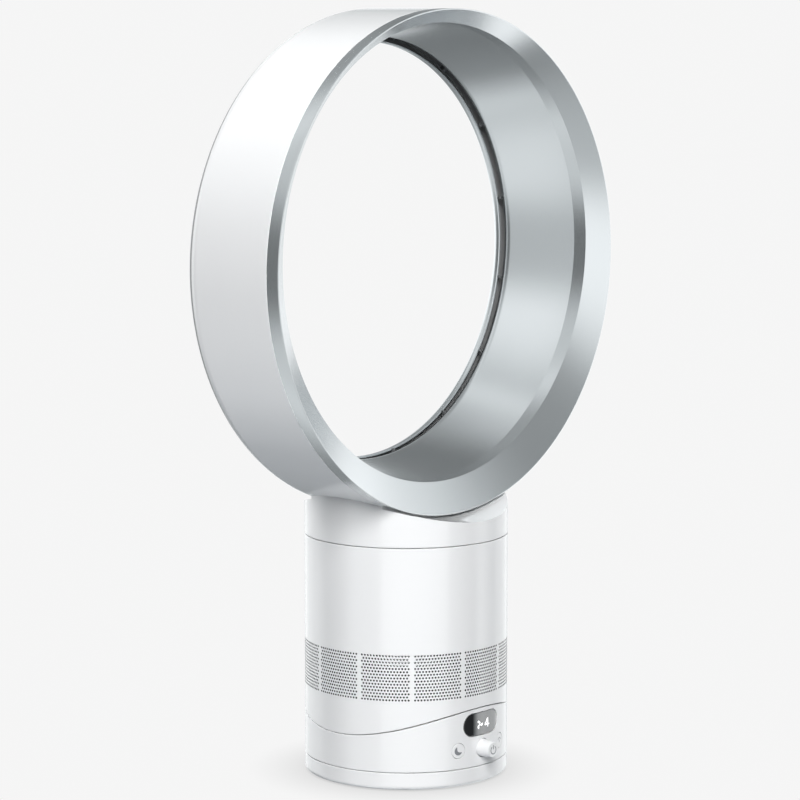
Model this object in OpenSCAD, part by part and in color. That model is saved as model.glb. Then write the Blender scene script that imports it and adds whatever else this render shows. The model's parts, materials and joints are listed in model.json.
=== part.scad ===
// Bladeless desk fan: a turning foot, a control base, a tilting perforated
// body that holds the impeller and its motor, and a hollow air ring.
// Millimetres. +Z is up, the front faces -Y, and the origin is on the body's
// axis at the table.

/* [Ring] */
// Outer diameter of the air ring
ring_d = 356; // [344:1:380]
// Depth of the ring in front of the body's axis
ring_front = 45.8; // [43:0.2:50]
// Depth of the ring behind the body's axis
ring_back = 43.7; // [41:0.1:48]
// Radial width of the ring's front face at the top
rim_top_w = 9.5; // [9:0.5:13]
// Radial width of the ring's front face at the bottom
rim_bottom_w = 22.5; // [20:0.5:27]
// Width of the silver band round the outside
band_w = 10.8; // [9:0.2:13]
// Depth of the flared front face
flare_depth = 11.5; // [10:0.5:13]
// Depth of the straight part behind the flare
guide_depth = 10.9; // [8:0.1:14]
// How much the bore narrows from the straight part to the throat
throat_step = 10.1; // [8:0.1:12]
// Radius of the liner's rounded rear edge
nose_r = 6; // [5:0.1:7]
// Radius of the casing's rolled rear lip
lip_round = 6; // [5:0.1:7]
// Thickness of the rolled lip
lip_wall = 1.3; // [1:0.1:1.6]
// Outer corner radius at the back of the casing
casing_corner = 12; // [9:0.5:14]
// Wall of the white casing
casing_wall = 2.6; // [2:0.1:3]
// Wall of the silver liner
liner_wall = 2.2; // [1.6:0.1:2.6]

/* [Body] */
// Diameter of the foot, the control base and the body
body_d = 146.4; // [142:0.2:156]
// Wall of the body, the control base and the foot
wall = 2.6; // [2:0.1:3]
// Height of the seam between the foot and the control base
foot_h = 13.3; // [13:0.1:15]
// Height of the control base at its sides
control_h = 24.9; // [24:0.1:30]
// Height of the tilting body at its sides
body_h = 135.3; // [132:0.1:145]
// Height from the body's top seam to the shelf under the ring
neck_h = 15.5; // [13:0.1:20]
// Gap between the shelf and the ring
shelf_gap = 2; // [1.5:0.1:3]
// Radius of the cylinder on which the body tilts
tilt_r = 160; // [150:1:175]
// Width of the visible seams
seam = 0.6; // [0.4:0.1:0.8]

/* [Perforation] */
// Number of blocks of air holes
block_count = 12; // [10:1:12]
// Angle that each block spans
block_span = 26.8; // [22:0.1:28]
// Height of the lowest row above the side of the tilt seam
holes_low = 27.3; // [24:0.1:30]
// Height from the lowest row to the highest
holes_h = 31.5; // [26:0.5:33]
// Rows of holes in a block
hole_rows = 5; // [3:1:6]
// Holes in the longest row of a block
hole_columns = 6; // [4:1:7]
// Diameter of an air hole
hole_d = 3.6; // [2:0.1:4]

/* [Controls] */
// Height of the display window's centre above the foot's seam
display_rise = 30.4; // [29.8:0.1:31.5]
// Width of the display window
display_w = 36.5; // [32:0.5:42]
// Height of the display window
display_h = 16.5; // [15:0.1:17]
// Height of the dial's axis above the foot's seam
dial_rise = 12.7; // [12.2:0.1:13.7]
// How far the dial stands out of the body
dial_out = 10; // [7:0.5:14]
// Diameter of the dial at its root
dial_d = 12.8; // [11:0.1:13.2]
// Diameter of the dial at its tip
dial_tip_d = 11; // [9:0.1:11.6]
// Height of the buttons' axes above the foot's seam
button_rise = 13.5; // [13:0.1:14.7]
// Diameter of a button
button_d = 10.6; // [9:0.1:11]
// Angle of each button from the front
button_angle = 17.8; // [16.5:0.1:22]

/* [Air path] */
// Gap between the wall and the air duct above the impeller
duct_inset = 19; // [17.6:0.1:20]
// How far the impeller's blade tips lie inside the duct
tip_inset = 3.6; // [2.2:0.1:5]
// How much narrower the impeller's blades are at the inlet
eye_step = 13.8; // [12:0.1:16]
// Height of the impeller
impeller_h = 24; // [20:0.5:26]
// Number of impeller blades
blade_count = 9; // [7:1:11]
// Number of diffuser vanes
vane_count = 12; // [9:1:15]
// Outer radius of the motor bucket
bucket_r = 30; // [28:0.5:32]
// Height of the motor bucket
bucket_h = 25; // [24.5:0.5:27]
// Radius of the motor shaft
shaft_r = 3; // [2.5:0.1:3.5]

/* [Turning] */
// Distance from the wall to the pitch circle of the fixed ring gear
gear_inset = 30.6; // [29.8:0.1:33]
// Teeth of the ring gear
gear_teeth = 60; // [60:4:64]
// Teeth of the pinion
pinion_teeth = 15; // [15:1:16]
// Outer radius of the pivot post
post_r = 9; // [8:0.1:10]
// Radius of the hole through the pivot post
post_bore_r = 6; // [5:0.1:7]
// Tilt to either side
tilt_range = 10; // [5:1:10]

/* [Hidden] */
$fn = 96;

// Overrun of every cut
over = 1;
// Clearance between pieces of one body that fit together
fit = 0.1;
// Radial clearance of a shaft or rotor in its bearing
run_fit = 0.04;
// Clearance between pieces that slide past each other
slide_gap = 0.3;

// Levels and radii of the body
body_r = body_d / 2;
body_in = body_r - wall;
seam_z = foot_h;
housing_z = seam_z + seam / 2;
saddle_z = seam_z + control_h;
tilt_z = saddle_z + tilt_r;
top_z = saddle_z + body_h;
neck_z = top_z + seam / 2;
shelf_z = top_z + neck_h;

// Air path, from the wall inwards
duct_r = body_in - duct_inset;
tip_r = duct_r - tip_inset;
eye_r = tip_r - eye_step;

// Ring: the bore's axis lies above the ring's axis
ring_r = ring_d / 2;
ring_z = shelf_z + shelf_gap + ring_r;
ring_fn = 180;
flare_fn = 120;
bore_lift = (rim_bottom_w - rim_top_w) / 2;
bore_z = ring_z + bore_lift;
guide_r = ring_r - (rim_top_w + rim_bottom_w) / 2;
throat_r = guide_r - throat_step;
front_y = -ring_front;
back_y = ring_back;
flare_y = front_y + flare_depth;
guide_y = flare_y + guide_depth;
band_y = front_y + band_w;
// Rear lip, rolled in and forward round this centre
lip_inset = 1.9;
lip_r = throat_r - lip_inset;
lip_centre_r = lip_r + lip_round;
lip_centre_y = back_y - lip_round;
// Rounded rear edge of the liner, turned outward round this centre
nose_centre_r = throat_r + nose_r;
nose_reach = 3.7;
nose_centre_y = lip_centre_y - nose_reach;
nose_end_angle = 100;
diffuser_angle = atan(throat_step / (nose_centre_y - guide_y));
nose_steps = 12;
nose_step_angle = (nose_end_angle + diffuser_angle) / nose_steps;
// Flat front edge of the liner, and the step where the flare meets the bore
edge_flat = 0.8;
flare_step = 0.2;
flare_wall = 3;
spacer_count = 16;
spacer_t = 1.2;
splitter_w = 24;
splitter_drop = 13;
seal_w = 2.2;
seal_t = 2.6;

// Screws: radius and height of the head, radius of the shank
screw_head_r = 2.6;
screw_head_h = 1.6;
screw_r = 1.4;
screw_boss_r = 3.6;
wall_screw_count = 4;

// Foot
foot_lift = 0.8;
foot_round = 3;
pad_h = 1.6;
pad_r = 6;
pad_count = 5;
pad_inset = 10.6;
plate_t = 2.5;
plate_z = pad_h;
plate_top = plate_z + plate_t;
foot_top = seam_z - seam / 2;
deck_t = 2.6;
deck_z = foot_top - deck_t;
deck_w = 16.6;
deck_in = body_in - deck_w;
foot_boss_inset = 6;
foot_screw_count = 5;
foot_screw_l = deck_z - plate_z;
glide_w = 6;
glide_inset = 9.1;
glide_in = body_in - glide_inset - glide_w;
glide_sunk = 1.4;

// Oscillation drive
gear_pitch_r = body_in - gear_inset;
gear_module = 2 * gear_pitch_r / gear_teeth;
pinion_pitch_r = gear_pitch_r * pinion_teeth / gear_teeth;
drive_y = gear_pitch_r - pinion_pitch_r;
pressure_angle = 20;
tip_share = 0.8;
root_share = 1.2;
backlash = 0.3;
gear_h = 5.5;
gear_rim = 4.6;
gear_flange_w = 5.6;
gear_flange_t = 2;
gear_root_r = gear_pitch_r + root_share * gear_module;
gear_out_r = gear_root_r + gear_rim;
gear_screw_count = 4;
gear_screw_at = gear_out_r + gear_flange_w / 2;
gear_screw_l = plate_t + gear_flange_t;
pinion_gap = 0.5;
pinion_shaft_r = 2.5;
pinion_shaft_in = 4;

// Turret floor and what stands on it
floor_gap = 0.3;
floor_z = seam_z + seam / 2 + floor_gap;
floor_t = 2.5;
floor_top = floor_z + floor_t;
ledge_w = 4;
ledge_t = 2;
turret_boss_h = 6;
screw_end_gap = 1;
turret_screw_l = floor_t + turret_boss_h - screw_end_gap;
hub_wall = 3;
hub_h = 8.1;
hub_top = floor_z + hub_h;
pivot_collar_w = 4;
pivot_collar_h = 2.4;
pivot_collar_z = hub_top + run_fit;
post_top = pivot_collar_z + pivot_collar_h;
post_flange_w = 5;
post_flange_t = 2;
deck_post_r = 3.5;
deck_post_inset = 14;

// Tilting joint
saddle_top_r = tilt_r + seam;
saddle_t = 2.5;
saddle_low_r = saddle_top_r + saddle_t;
tilt_plate_t = 2.5;
runner_x = 24.5;
runner_t = 3;
runner_hook = 4;
runner_hook_t = 2;
runner_low_r = saddle_low_r + slide_gap + runner_hook_t;
runner_head_r = 1.2;
runner_shank_r = 0.9;
runner_angle = 8;
slot_side_gap = 0.5;
slot_end_angle = 1;
glide_x = 34;
glide_strip_w = 6;
glide_strip_t = 1.5;
glide_end_gap = 2.8;
glide_strip_reach = sqrt(pow(body_in - glide_end_gap, 2) - pow(glide_x + glide_strip_w, 2));
glide_strip_angle = asin(glide_strip_reach / tilt_r);
runner_screw_angle = 5;

// Control base
display_z = seam_z + display_rise;
dial_z = seam_z + dial_rise;
button_z = seam_z + button_rise;
window_t = 2;
window_sunk = 0.2;
segment_t = 0.15;
window_gap = 0.3;
stroke_w = 0.95;
digit_bar_share = 0.22;
digit_stem_share = 0.35;
digit_slant_share = 1.4;
digit_x = 4.9;
digit_w = 5;
digit_h = 6.6;
icon_x = -3.2;
icon_hub_r = 0.8;
icon_blade_r = 1.1;
icon_blade_at = 1.85;
icon_blades = 3;
display_board_t = 3.8;
display_board_inset = 1.25;
display_board_w = display_w - 2 * display_board_inset;
display_board_low = 7.7;
display_board_high = 4.3;
board_t = 1.6;
standoff_h = 2.5;
standoff_r = 2.5;
board_z = floor_top + standoff_h;
board_top = board_z + board_t;
board_w = 56;
board_inset = 8.6;
board_front = body_in - board_inset;
board_hub_gap = 5;
board_back = post_r + pivot_collar_w + board_hub_gap;
standoff_inset = 4;
switch_w = 6;
switch_inset = 6.6;
switch_front = body_in - switch_inset;
switch_depth = 5;
switch_rise = 2.7;
switch_h = button_z + switch_rise - board_top;
button_travel = 0.8;
button_flange = 1.3;
button_flange_r = button_d / 2 + button_flange;
button_flange_t = 1.4;
button_stem_r = 2.2;
dial_travel = 0.6;
dial_gap = 0.4;
dial_round = 1.2;
dial_flange = 1;
dial_flange_r = dial_d / 2 + dial_flange;
dial_flange_t = 1.2;
dial_shaft_r = 2.5;
dial_flat_share = 0.6;
encoder_w = 14;
encoder_inset = 8.1;
encoder_depth = 9.5;
encoder_front = body_in - encoder_inset;
encoder_top = 7;
rotor_r = 5;
rotor_depth = 6.1;
rotor_end_gap = 0.2;
rotor_front = encoder_front - rotor_end_gap;
rotor_back = rotor_front - rotor_depth;
osc_motor_gap = 4;
osc_motor_r = drive_y - post_r - hub_wall - osc_motor_gap;
osc_motor_h = 13;
osc_ear_w = 7;
osc_ear_t = 2;
osc_ear_out = 6;
osc_ear_reach = osc_motor_r + osc_ear_out;

// Cord gland at the back of the foot
gland_rise = 3.15;
gland_z = plate_top + gland_rise;
gland_r = 4.4;
gland_bore_r = 3.2;
gland_inset = 3.6;
gland_in = body_in - gland_inset;
gland_out = 8;
gland_collar_r = 5.2;
gland_end_r = 4.7;
gland_room = 0.2;

// Body stack, from the perforation up
holes_z = saddle_z + holes_low;
holes_margin = 3.9;
inlet_ledge_z = holes_z + holes_h + holes_margin;
inlet_t = 2.5;
inlet_z = inlet_ledge_z + ledge_t;
inlet_margin = 3.8;
inlet_bore_r = eye_r + inlet_margin;
inlet_collar_h = 4;
inlet_seal_h = 3;
inlet_seal_w = 5;
inlet_seal_gap = 2;
mount_count = 6;
mount_r = 4;
mount_inset = 9;
shroud_z = inlet_z + inlet_t + inlet_seal_h;
shroud_t = 2;
shroud_flange_inset = 4.2;
blade_gap = 0.9;
impeller_rise = 1.5;
impeller_z = shroud_z + impeller_rise;
impeller_top = impeller_z + impeller_h;
hub_low_r = 9;
hub_skin = 2.4;
hub_boss_r = 6.5;
hub_boss_top = 4;
hub_boss_low = 8;
blade_t = 1.4;
blade_arc_share = 0.625;
blade_arc_r = blade_arc_share * tip_r;
blade_root_gap = 2;
blade_arc_x = blade_arc_r + blade_root_gap;
bucket_gap = 0.9;
bucket_z = impeller_top + bucket_gap;
bucket_t = 2;
bucket_floor_t = 3;
bucket_top = bucket_z + bucket_h;
vane_t = 1.6;
vane_low = 3;
vane_h = 20;
vane_arc_share = 0.775;
vane_arc_r = vane_arc_share * duct_r;
vane_root_gap = 3;
vane_arc_x = vane_arc_r + vane_root_gap;
bearing_r = 8;
bearing_h = 5;
bearing_boss_w = 2.5;
shaft_hole_gap = 1;
cap_t = 2.5;
cap_boss_h = 3;
upper_bearing_z = bucket_top + cap_t / 2 - bearing_h;
cap_screw_r = 1.2;
cap_head_r = 2;
cap_head_h = 1.3;
cap_screw_count = 3;
cap_lug_r = 3;
cap_lug_sunk = 0.8;
cap_lug_h = 3;
cap_screw_at = bucket_r - bucket_t - cap_lug_r + cap_lug_sunk;
cap_screw_l = cap_t + cap_lug_h;
nose_h = 9.5;
nose_t = 1.6;
duct_drop = 5.5;
duct_top = top_z - duct_drop;
stator_rise = 1.6;
stator_z = bucket_z + bucket_floor_t + bearing_h + stator_rise;
stator_h = 10;
stator_in = 13.3;
stator_out = bucket_r - bucket_t - fit;
stator_yoke = 5;
tooth_count = 9;
tooth_w = 4;
coil_w = 7.6;
coil_in = 15.5;
coil_over = 1.2;
coil_gap = 0.6;
magnet_r = 12.5;
motor_board_w = 44;
motor_board_d = 38;
motor_board_rise = 6;
motor_board_z = saddle_z + tilt_plate_t + motor_board_rise;
chip_w = 12;
chip_h = 5;
foam_in = 36;
foam_top = 21;
foam_gap = 0.3;

// Twist lock between the body and the ring's neck
collar_wall = 7.6;
collar_in = body_in - collar_wall;
body_collar_h = 9.2;
body_collar_z = top_z - seam / 2 - body_collar_h;
spigot_t = 2.5;
spigot_drop = 7;
lug_w = 3.4;
lug_h = 2.5;
lug_angle = 20;
lug_start_angle = 90;
lug_count = 3;
lug_side_angle = 1;
lug_rise = 0.6;
lug_z = neck_z - spigot_drop;
lug_room_low = lug_z - slide_gap;
lug_room_h = lug_rise + lug_h + 2 * slide_gap;
twist_range = 24;
adapter_t = 3;
seal_lap = 2.4;
adapter_in = duct_r + shroud_t + seal_lap;
spigot_out = collar_in - slide_gap;
flange_gap = 0.8;
top_flange_r = spigot_out - spigot_t - flange_gap;
adapter_boss_h = 6;
adapter_screw_l = adapter_t + adapter_boss_h - screw_end_gap;
seal_squeeze = 0.2;

// Solid of the ring's axis direction, from y0 to y1
module ring_disc(r, y0, y1, z, fn = ring_fn) {
    translate([0, y0, z]) rotate([-90, 0, 0]) cylinder(r = r, h = y1 - y0, $fn = fn);
}

// Profile of radius and depth turned round an axis along Y at height z
module turn_about_y(z) {
    translate([0, 0, z]) rotate([-90, 0, 0]) rotate_extrude($fn = ring_fn) children();
}

// Cylinder about the tilting axis
module tilt_drum(r, width) {
    translate([0, 0, tilt_z]) rotate([0, 90, 0]) cylinder(r = r, h = width, center = true, $fn = ring_fn);
}

// Layer between two radii of the tilting axis, below it
module tilt_layer(r_in, r_out) {
    difference() {
        tilt_drum(r_out, body_d);
        tilt_drum(r_in, body_d + over);
        translate([-body_d, -2 * tilt_r, tilt_z]) cube([2 * body_d, 4 * tilt_r, 2 * tilt_r]);
    }
}

// Block beside the middle plane that spans an angle about the tilting axis
module tilt_block(x, width, r_in, r_out, span) {
    half = r_out * tan(span);
    intersection() {
        difference() {
            translate([x + width / 2, 0, tilt_z]) rotate([0, 90, 0])
                cylinder(r = r_out, h = width, center = true, $fn = ring_fn);
            translate([x + width / 2, 0, tilt_z]) rotate([0, 90, 0])
                cylinder(r = r_in, h = width + over, center = true, $fn = ring_fn);
        }
        translate([x - over, 0, tilt_z]) rotate([90, 0, 90])
            linear_extrude(width + 2 * over) polygon([[0, 0], [-half, -r_out], [half, -r_out]]);
    }
}

module mirrored() {
    children();
    mirror([1, 0, 0]) children();
}

module around(count, r, start = 0) {
    for (i = [0 : count - 1]) rotate([0, 0, start + i * 360 / count]) translate([r, 0, 0]) children();
}

module ring(r_in, r_out, z, h) {
    translate([0, 0, z]) difference() {
        cylinder(r = r_out, h = h);
        translate([0, 0, -over]) cylinder(r = r_in, h = h + 2 * over);
    }
}

// Screw with its head down at z and its shank pointing up
module screw(z, length, r = screw_r, head_r = screw_head_r, head_h = screw_head_h) {
    translate([0, 0, z]) cylinder(r = head_r, h = head_h);
    translate([0, 0, z]) cylinder(r = r, h = length);
}

// Room for such a screw in the pieces that it joins
module screw_room(z, length, r = screw_r, head_r = screw_head_r, head_h = screw_head_h) {
    translate([0, 0, z - over]) cylinder(r = head_r + fit, h = head_h + over);
    translate([0, 0, z]) cylinder(r = r + fit, h = length + fit);
}

// Places of the screws round the wall's inner ledges
module wall_screw_places() {
    around(wall_screw_count, body_in - ledge_w, 45) children();
}

// Angle of an involute's point at a radius, in degrees
function roll(base_r, r) = let (a = acos(min(1, base_r / r))) tan(a) * 180 / PI - a;

// Half of a tooth's angle at a radius
function half_tooth(teeth, pitch_r, r, play) =
    let (base_r = pitch_r * cos(pressure_angle))
    90 / teeth + play / pitch_r * 180 / PI + roll(base_r, pitch_r) - roll(base_r, max(r, base_r));

// Outline of a gear with involute flanks; play widens or thins each tooth
function gear_outline(teeth, pitch_r, out_share, in_share, play) =
    let (m = 2 * pitch_r / teeth, tip = pitch_r + out_share * m, root = pitch_r - in_share * m,
         radii = [root, pitch_r * cos(pressure_angle), pitch_r - tip_share * m / 2, pitch_r,
                  pitch_r + tip_share * m / 2, tip],
         flank = [for (r = radii) if (r >= root) [r, half_tooth(teeth, pitch_r, r, play)]],
         last = len(flank) - 1)
    [for (i = [0 : teeth - 1]) for (k = [0 : 2 * last + 1])
        let (p = k <= last ? flank[k] : flank[2 * last + 1 - k],
             a = i * 360 / teeth + (k <= last ? -p[1] : p[1]))
        [p[0] * cos(a), p[0] * sin(a)]];

// Foot

module rubber_feet() {
    color("dimgray") around(pad_count, body_in - pad_inset, 90) cylinder(r = pad_r, h = pad_h);
}

// The foot's screws stand between the pads
module foot_screw_places() {
    around(foot_screw_count, body_in - foot_boss_inset, 90 + 180 / foot_screw_count) children();
}

module gland_hole(r) {
    translate([0, gland_in - over, gland_z]) rotate([-90, 0, 0]) cylinder(r = r, h = body_r);
}

module base_plate() {
    color("silver") difference() {
        translate([0, 0, plate_z]) cylinder(r = body_in - fit, h = plate_t);
        foot_screw_places() screw_room(plate_z, plate_t + over);
        around(gear_screw_count, gear_screw_at, 45) screw_room(plate_z, plate_t + over);
        gland_hole(gland_r + gland_room);
    }
}

module foot_outline() {
    difference() {
        union() {
            translate([body_in - ledge_w, foot_lift])
                square([ledge_w + wall - foot_round, foot_top - foot_lift]);
            translate([body_in, foot_lift + foot_round]) square([wall, foot_top - foot_lift - foot_round]);
            translate([body_r - foot_round, foot_lift + foot_round]) circle(r = foot_round);
        }
        translate([0, foot_lift - over]) square([body_in, deck_z - foot_lift + over]);
    }
    translate([deck_in, deck_z]) square([body_in - deck_in + fit, deck_t]);
}

module foot_shell() {
    color("white") difference() {
        union() {
            rotate_extrude() foot_outline();
            foot_screw_places() translate([0, 0, plate_top])
                cylinder(r = screw_boss_r, h = deck_z - plate_top + deck_t / 2);
        }
        ring(glide_in - fit, glide_in + glide_w + fit, foot_top - glide_sunk, glide_sunk + over);
        foot_screw_places() screw_room(plate_z, foot_screw_l);
        gland_hole(gland_r + gland_room);
    }
}

module foot_screws() {
    color("gray") foot_screw_places() screw(plate_z, foot_screw_l);
}

module ring_gear() {
    color("ivory") difference() {
        union() {
            translate([0, 0, plate_top]) cylinder(r = gear_out_r, h = gear_h);
            translate([0, 0, plate_top]) cylinder(r = gear_out_r + gear_flange_w, h = gear_flange_t);
        }
        translate([0, 0, plate_top - over]) linear_extrude(gear_h + 2 * over) rotate(90)
            polygon(gear_outline(gear_teeth, gear_pitch_r, root_share, tip_share, backlash / 4));
        around(gear_screw_count, gear_screw_at, 45) screw_room(plate_z, gear_screw_l);
    }
}

module gear_screws() {
    color("gray") around(gear_screw_count, gear_screw_at, 45) screw(plate_z, gear_screw_l - fit);
}

module pivot_post() {
    color("lightgray") difference() {
        union() {
            translate([0, 0, plate_top]) cylinder(r = post_r, h = post_top - plate_top);
            translate([0, 0, plate_top]) cylinder(r = post_r + post_flange_w, h = post_flange_t);
        }
        translate([0, 0, plate_top - over]) cylinder(r = post_bore_r, h = post_top);
    }
}

module pivot_collar() {
    color("gray") ring(post_r + run_fit, post_r + pivot_collar_w, pivot_collar_z, pivot_collar_h);
}

module glide_ring() {
    color("ivory")
        ring(glide_in, glide_in + glide_w, foot_top - glide_sunk, floor_z - run_fit - foot_top + glide_sunk);
}

module cord_gland() {
    color("whitesmoke") difference() {
        union() {
            translate([0, gland_in, gland_z]) rotate([-90, 0, 0])
                cylinder(r = gland_r, h = body_r + fit - gland_in + over);
            difference() {
                translate([0, body_in, gland_z]) rotate([-90, 0, 0])
                    cylinder(r1 = gland_collar_r, r2 = gland_end_r, h = wall + gland_out);
                cylinder(r = body_r + fit, h = foot_h);
            }
        }
        translate([0, gland_in - over, gland_z]) rotate([-90, 0, 0])
            cylinder(r = gland_bore_r, h = body_d);
    }
}

// Control base

// Outline of the display window with its ends rounded
module window_outline(grow) {
    reach = (display_w - display_h) / 2;
    for (side = [-1, 1]) translate([side * reach, 0]) circle(r = display_h / 2 + grow);
    square([2 * reach, display_h + 2 * grow], center = true);
}

module window_prism(grow) {
    translate([0, 0, display_z]) rotate([90, 0, 0]) linear_extrude(body_d) window_outline(grow);
}

module at_button(side) {
    rotate([0, 0, side * button_angle]) translate([0, 0, button_z]) rotate([90, 0, 0]) children();
}

// Room in the inner ledge for a flange of radius r, along +Z
module ledge_room(r) {
    translate([0, 0, body_in - 2 * ledge_w]) cylinder(r = r + slide_gap, h = 2 * ledge_w - slide_gap);
}

module control_housing() {
    color("white") difference() {
        union() {
            difference() {
                translate([0, 0, housing_z]) cylinder(r = body_r, h = body_r + control_h);
                translate([0, 0, housing_z - over]) cylinder(r = body_in, h = body_d + control_h);
            }
            ring(body_in - ledge_w, body_in + fit, floor_top + slide_gap, ledge_t);
            wall_screw_places()
                translate([0, 0, floor_top]) cylinder(r = screw_boss_r, h = turret_boss_h);
        }
        tilt_drum(saddle_top_r, body_d + over);
        window_prism(window_gap);
        translate([0, 0, dial_z]) rotate([90, 0, 0]) cylinder(r = dial_d / 2 + dial_gap, h = body_d);
        for (side = [-1, 1]) at_button(side) cylinder(r = button_d / 2 + slide_gap, h = body_d);
        translate([0, 0, dial_z]) rotate([90, 0, 0]) ledge_room(dial_flange_r);
        for (side = [-1, 1]) at_button(side) ledge_room(button_flange_r);
        wall_screw_places() screw_room(floor_z, turret_screw_l);
    }
}

module turret_floor() {
    color("gainsboro") difference() {
        union() {
            translate([0, 0, floor_z]) cylinder(r = body_in - fit, h = floor_t);
            translate([0, 0, floor_z]) cylinder(r = post_r + hub_wall, h = hub_h);
            difference() {
                around(4, body_in - deck_post_inset, 45) translate([0, 0, floor_z])
                    cylinder(r = deck_post_r, h = tilt_r);
                tilt_drum(saddle_low_r + fit, body_d);
            }
            for (sx = [-1, 1]) for (y = [board_back + standoff_inset, board_front - standoff_inset])
                translate([sx * (board_w / 2 - standoff_inset), -y, floor_z])
                    cylinder(r = standoff_r, h = floor_t + standoff_h);
        }
        translate([0, 0, floor_z - over]) cylinder(r = post_r + run_fit, h = hub_h + 2 * over);
        translate([0, drive_y, floor_z - over])
            cylinder(r = pinion_shaft_r + slide_gap, h = floor_t + 2 * over);
        wall_screw_places() screw_room(floor_z, turret_screw_l);
        mirrored() translate([osc_ear_reach, drive_y, 0])
            screw_room(floor_z, floor_t + over, cap_screw_r, cap_head_r, cap_head_h);
    }
}

module turret_screws() {
    color("gray") wall_screw_places() screw(floor_z, turret_screw_l);
}

module tilt_saddle() {
    slot_span = runner_angle + tilt_range + slot_end_angle;
    color("gainsboro") difference() {
        intersection() {
            tilt_layer(saddle_top_r, saddle_low_r);
            cylinder(r = body_in - fit, h = tilt_z);
        }
        mirrored() {
            tilt_block(runner_x - slot_side_gap, runner_t + 2 * slot_side_gap,
                       tilt_r - over, saddle_low_r + over, slot_span);
            tilt_block(glide_x - fit, glide_strip_w + 2 * fit, tilt_r - over,
                       saddle_top_r + glide_strip_t - seam + fit, glide_strip_angle + slot_end_angle / 2);
        }
    }
}

module tilt_glides() {
    color("ivory") mirrored()
        tilt_block(glide_x, glide_strip_w, tilt_r + fit, tilt_r + glide_strip_t, glide_strip_angle);
}

module display_window() {
    color("black") intersection() {
        window_prism(0);
        ring(body_r - window_sunk - window_t, body_r - window_sunk, seam_z, body_d);
    }
}

// The numeral four, drawn as strokes in the plane of the window
module digit_four() {
    half = digit_w / 2;
    stem_x = half * digit_stem_share;
    bar_z = -digit_h * digit_bar_share;
    translate([stem_x, -digit_h / 2]) square([stroke_w, digit_h]);
    translate([-half, bar_z - stroke_w / 2]) square([digit_w, stroke_w]);
    polygon([[-half, bar_z + stroke_w / 2], [stem_x, digit_h / 2],
             [stem_x + stroke_w, digit_h / 2], [-half + digit_slant_share * stroke_w, bar_z + stroke_w / 2]]);
}

// A small fan: a hub with round blades
module fan_icon() {
    circle(r = icon_hub_r);
    for (i = [0 : icon_blades - 1]) rotate(90 + i * 360 / icon_blades)
        translate([icon_blade_at, 0]) circle(r = icon_blade_r);
}

module display_segments() {
    color("white") intersection() {
        translate([0, 0, display_z]) rotate([90, 0, 0]) linear_extrude(body_d) {
            translate([digit_x, 0]) digit_four();
            translate([icon_x, 0]) fan_icon();
        }
        ring(body_r - window_sunk, body_r - window_sunk + segment_t, seam_z, body_d);
    }
}

module display_board() {
    color("darkgreen") intersection() {
        difference() {
            ring(body_in - slide_gap - display_board_t, body_in - slide_gap, seam_z, body_d);
            tilt_drum(saddle_low_r + slide_gap, body_d);
        }
        translate([-display_board_w / 2, -body_r, display_z - display_board_low])
            cube([display_board_w, body_r / 2, display_board_low + display_board_high]);
    }
}

module control_board() {
    color("darkgreen") difference() {
        translate([-board_w / 2, -board_front, board_z]) cube([board_w, board_front - board_back, board_t]);
        wall_screw_places()
            translate([0, 0, floor_top]) cylinder(r = screw_boss_r + slide_gap, h = turret_boss_h);
    }
}

module encoder_body() {
    color("dimgray") difference() {
        translate([-encoder_w / 2, -encoder_front, board_top])
            cube([encoder_w, encoder_depth, dial_z + encoder_top - board_top]);
        translate([0, -rotor_back + rotor_end_gap, dial_z]) rotate([90, 0, 0])
            cylinder(r = rotor_r + run_fit, h = body_r);
    }
}

module button_switches() {
    color("dimgray") for (side = [-1, 1]) rotate([0, 0, side * button_angle])
        translate([-switch_w / 2, -switch_front, board_top]) cube([switch_w, switch_depth, switch_h]);
}

module oscillation_motor() {
    color("silver") difference() {
        union() {
            translate([0, drive_y, floor_top]) cylinder(r = osc_motor_r, h = osc_motor_h);
            translate([-osc_ear_reach, drive_y - osc_ear_w / 2, floor_top])
                cube([2 * osc_ear_reach, osc_ear_w, osc_ear_t]);
            mirrored() translate([osc_ear_reach, drive_y, floor_top])
                cylinder(r = osc_ear_w / 2, h = osc_ear_t);
        }
        translate([0, drive_y, floor_top - over])
            cylinder(r = pinion_shaft_r + run_fit, h = pinion_shaft_in + over + fit);
        mirrored() translate([osc_ear_reach, drive_y, 0])
            screw_room(floor_z, floor_t + osc_ear_t, cap_screw_r, cap_head_r, cap_head_h);
    }
}

module motor_screws() {
    color("gray") mirrored() translate([osc_ear_reach, drive_y, 0])
        screw(floor_z, floor_t + osc_ear_t, cap_screw_r, cap_head_r, cap_head_h);
}

module oscillation_pinion() {
    color("ivory") translate([0, drive_y, plate_top + pinion_gap]) {
        linear_extrude(gear_h - 2 * pinion_gap) rotate(90)
            polygon(gear_outline(pinion_teeth, pinion_pitch_r, tip_share, root_share, -backlash / 4));
        cylinder(r = pinion_shaft_r, h = floor_top + pinion_shaft_in - plate_top - pinion_gap);
    }
}

// Round bar with a flat along it, pointing along +Z
module d_bar(r, length) {
    difference() {
        cylinder(r = r, h = length);
        translate([-r, dial_flat_share * r, -over]) cube([2 * r, r, length + 2 * over]);
    }
}

module dial_rotor() {
    color("gray") translate([0, -rotor_back, dial_z]) rotate([90, 0, 0]) difference() {
        cylinder(r = rotor_r, h = rotor_front - rotor_back);
        translate([0, 0, -over]) difference() {
            cylinder(r = dial_shaft_r + run_fit, h = rotor_front - rotor_back + 2 * over);
            translate([-rotor_r, dial_flat_share * dial_shaft_r + run_fit, -over])
                cube([2 * rotor_r, rotor_r, rotor_front + over]);
        }
    }
}

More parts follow.
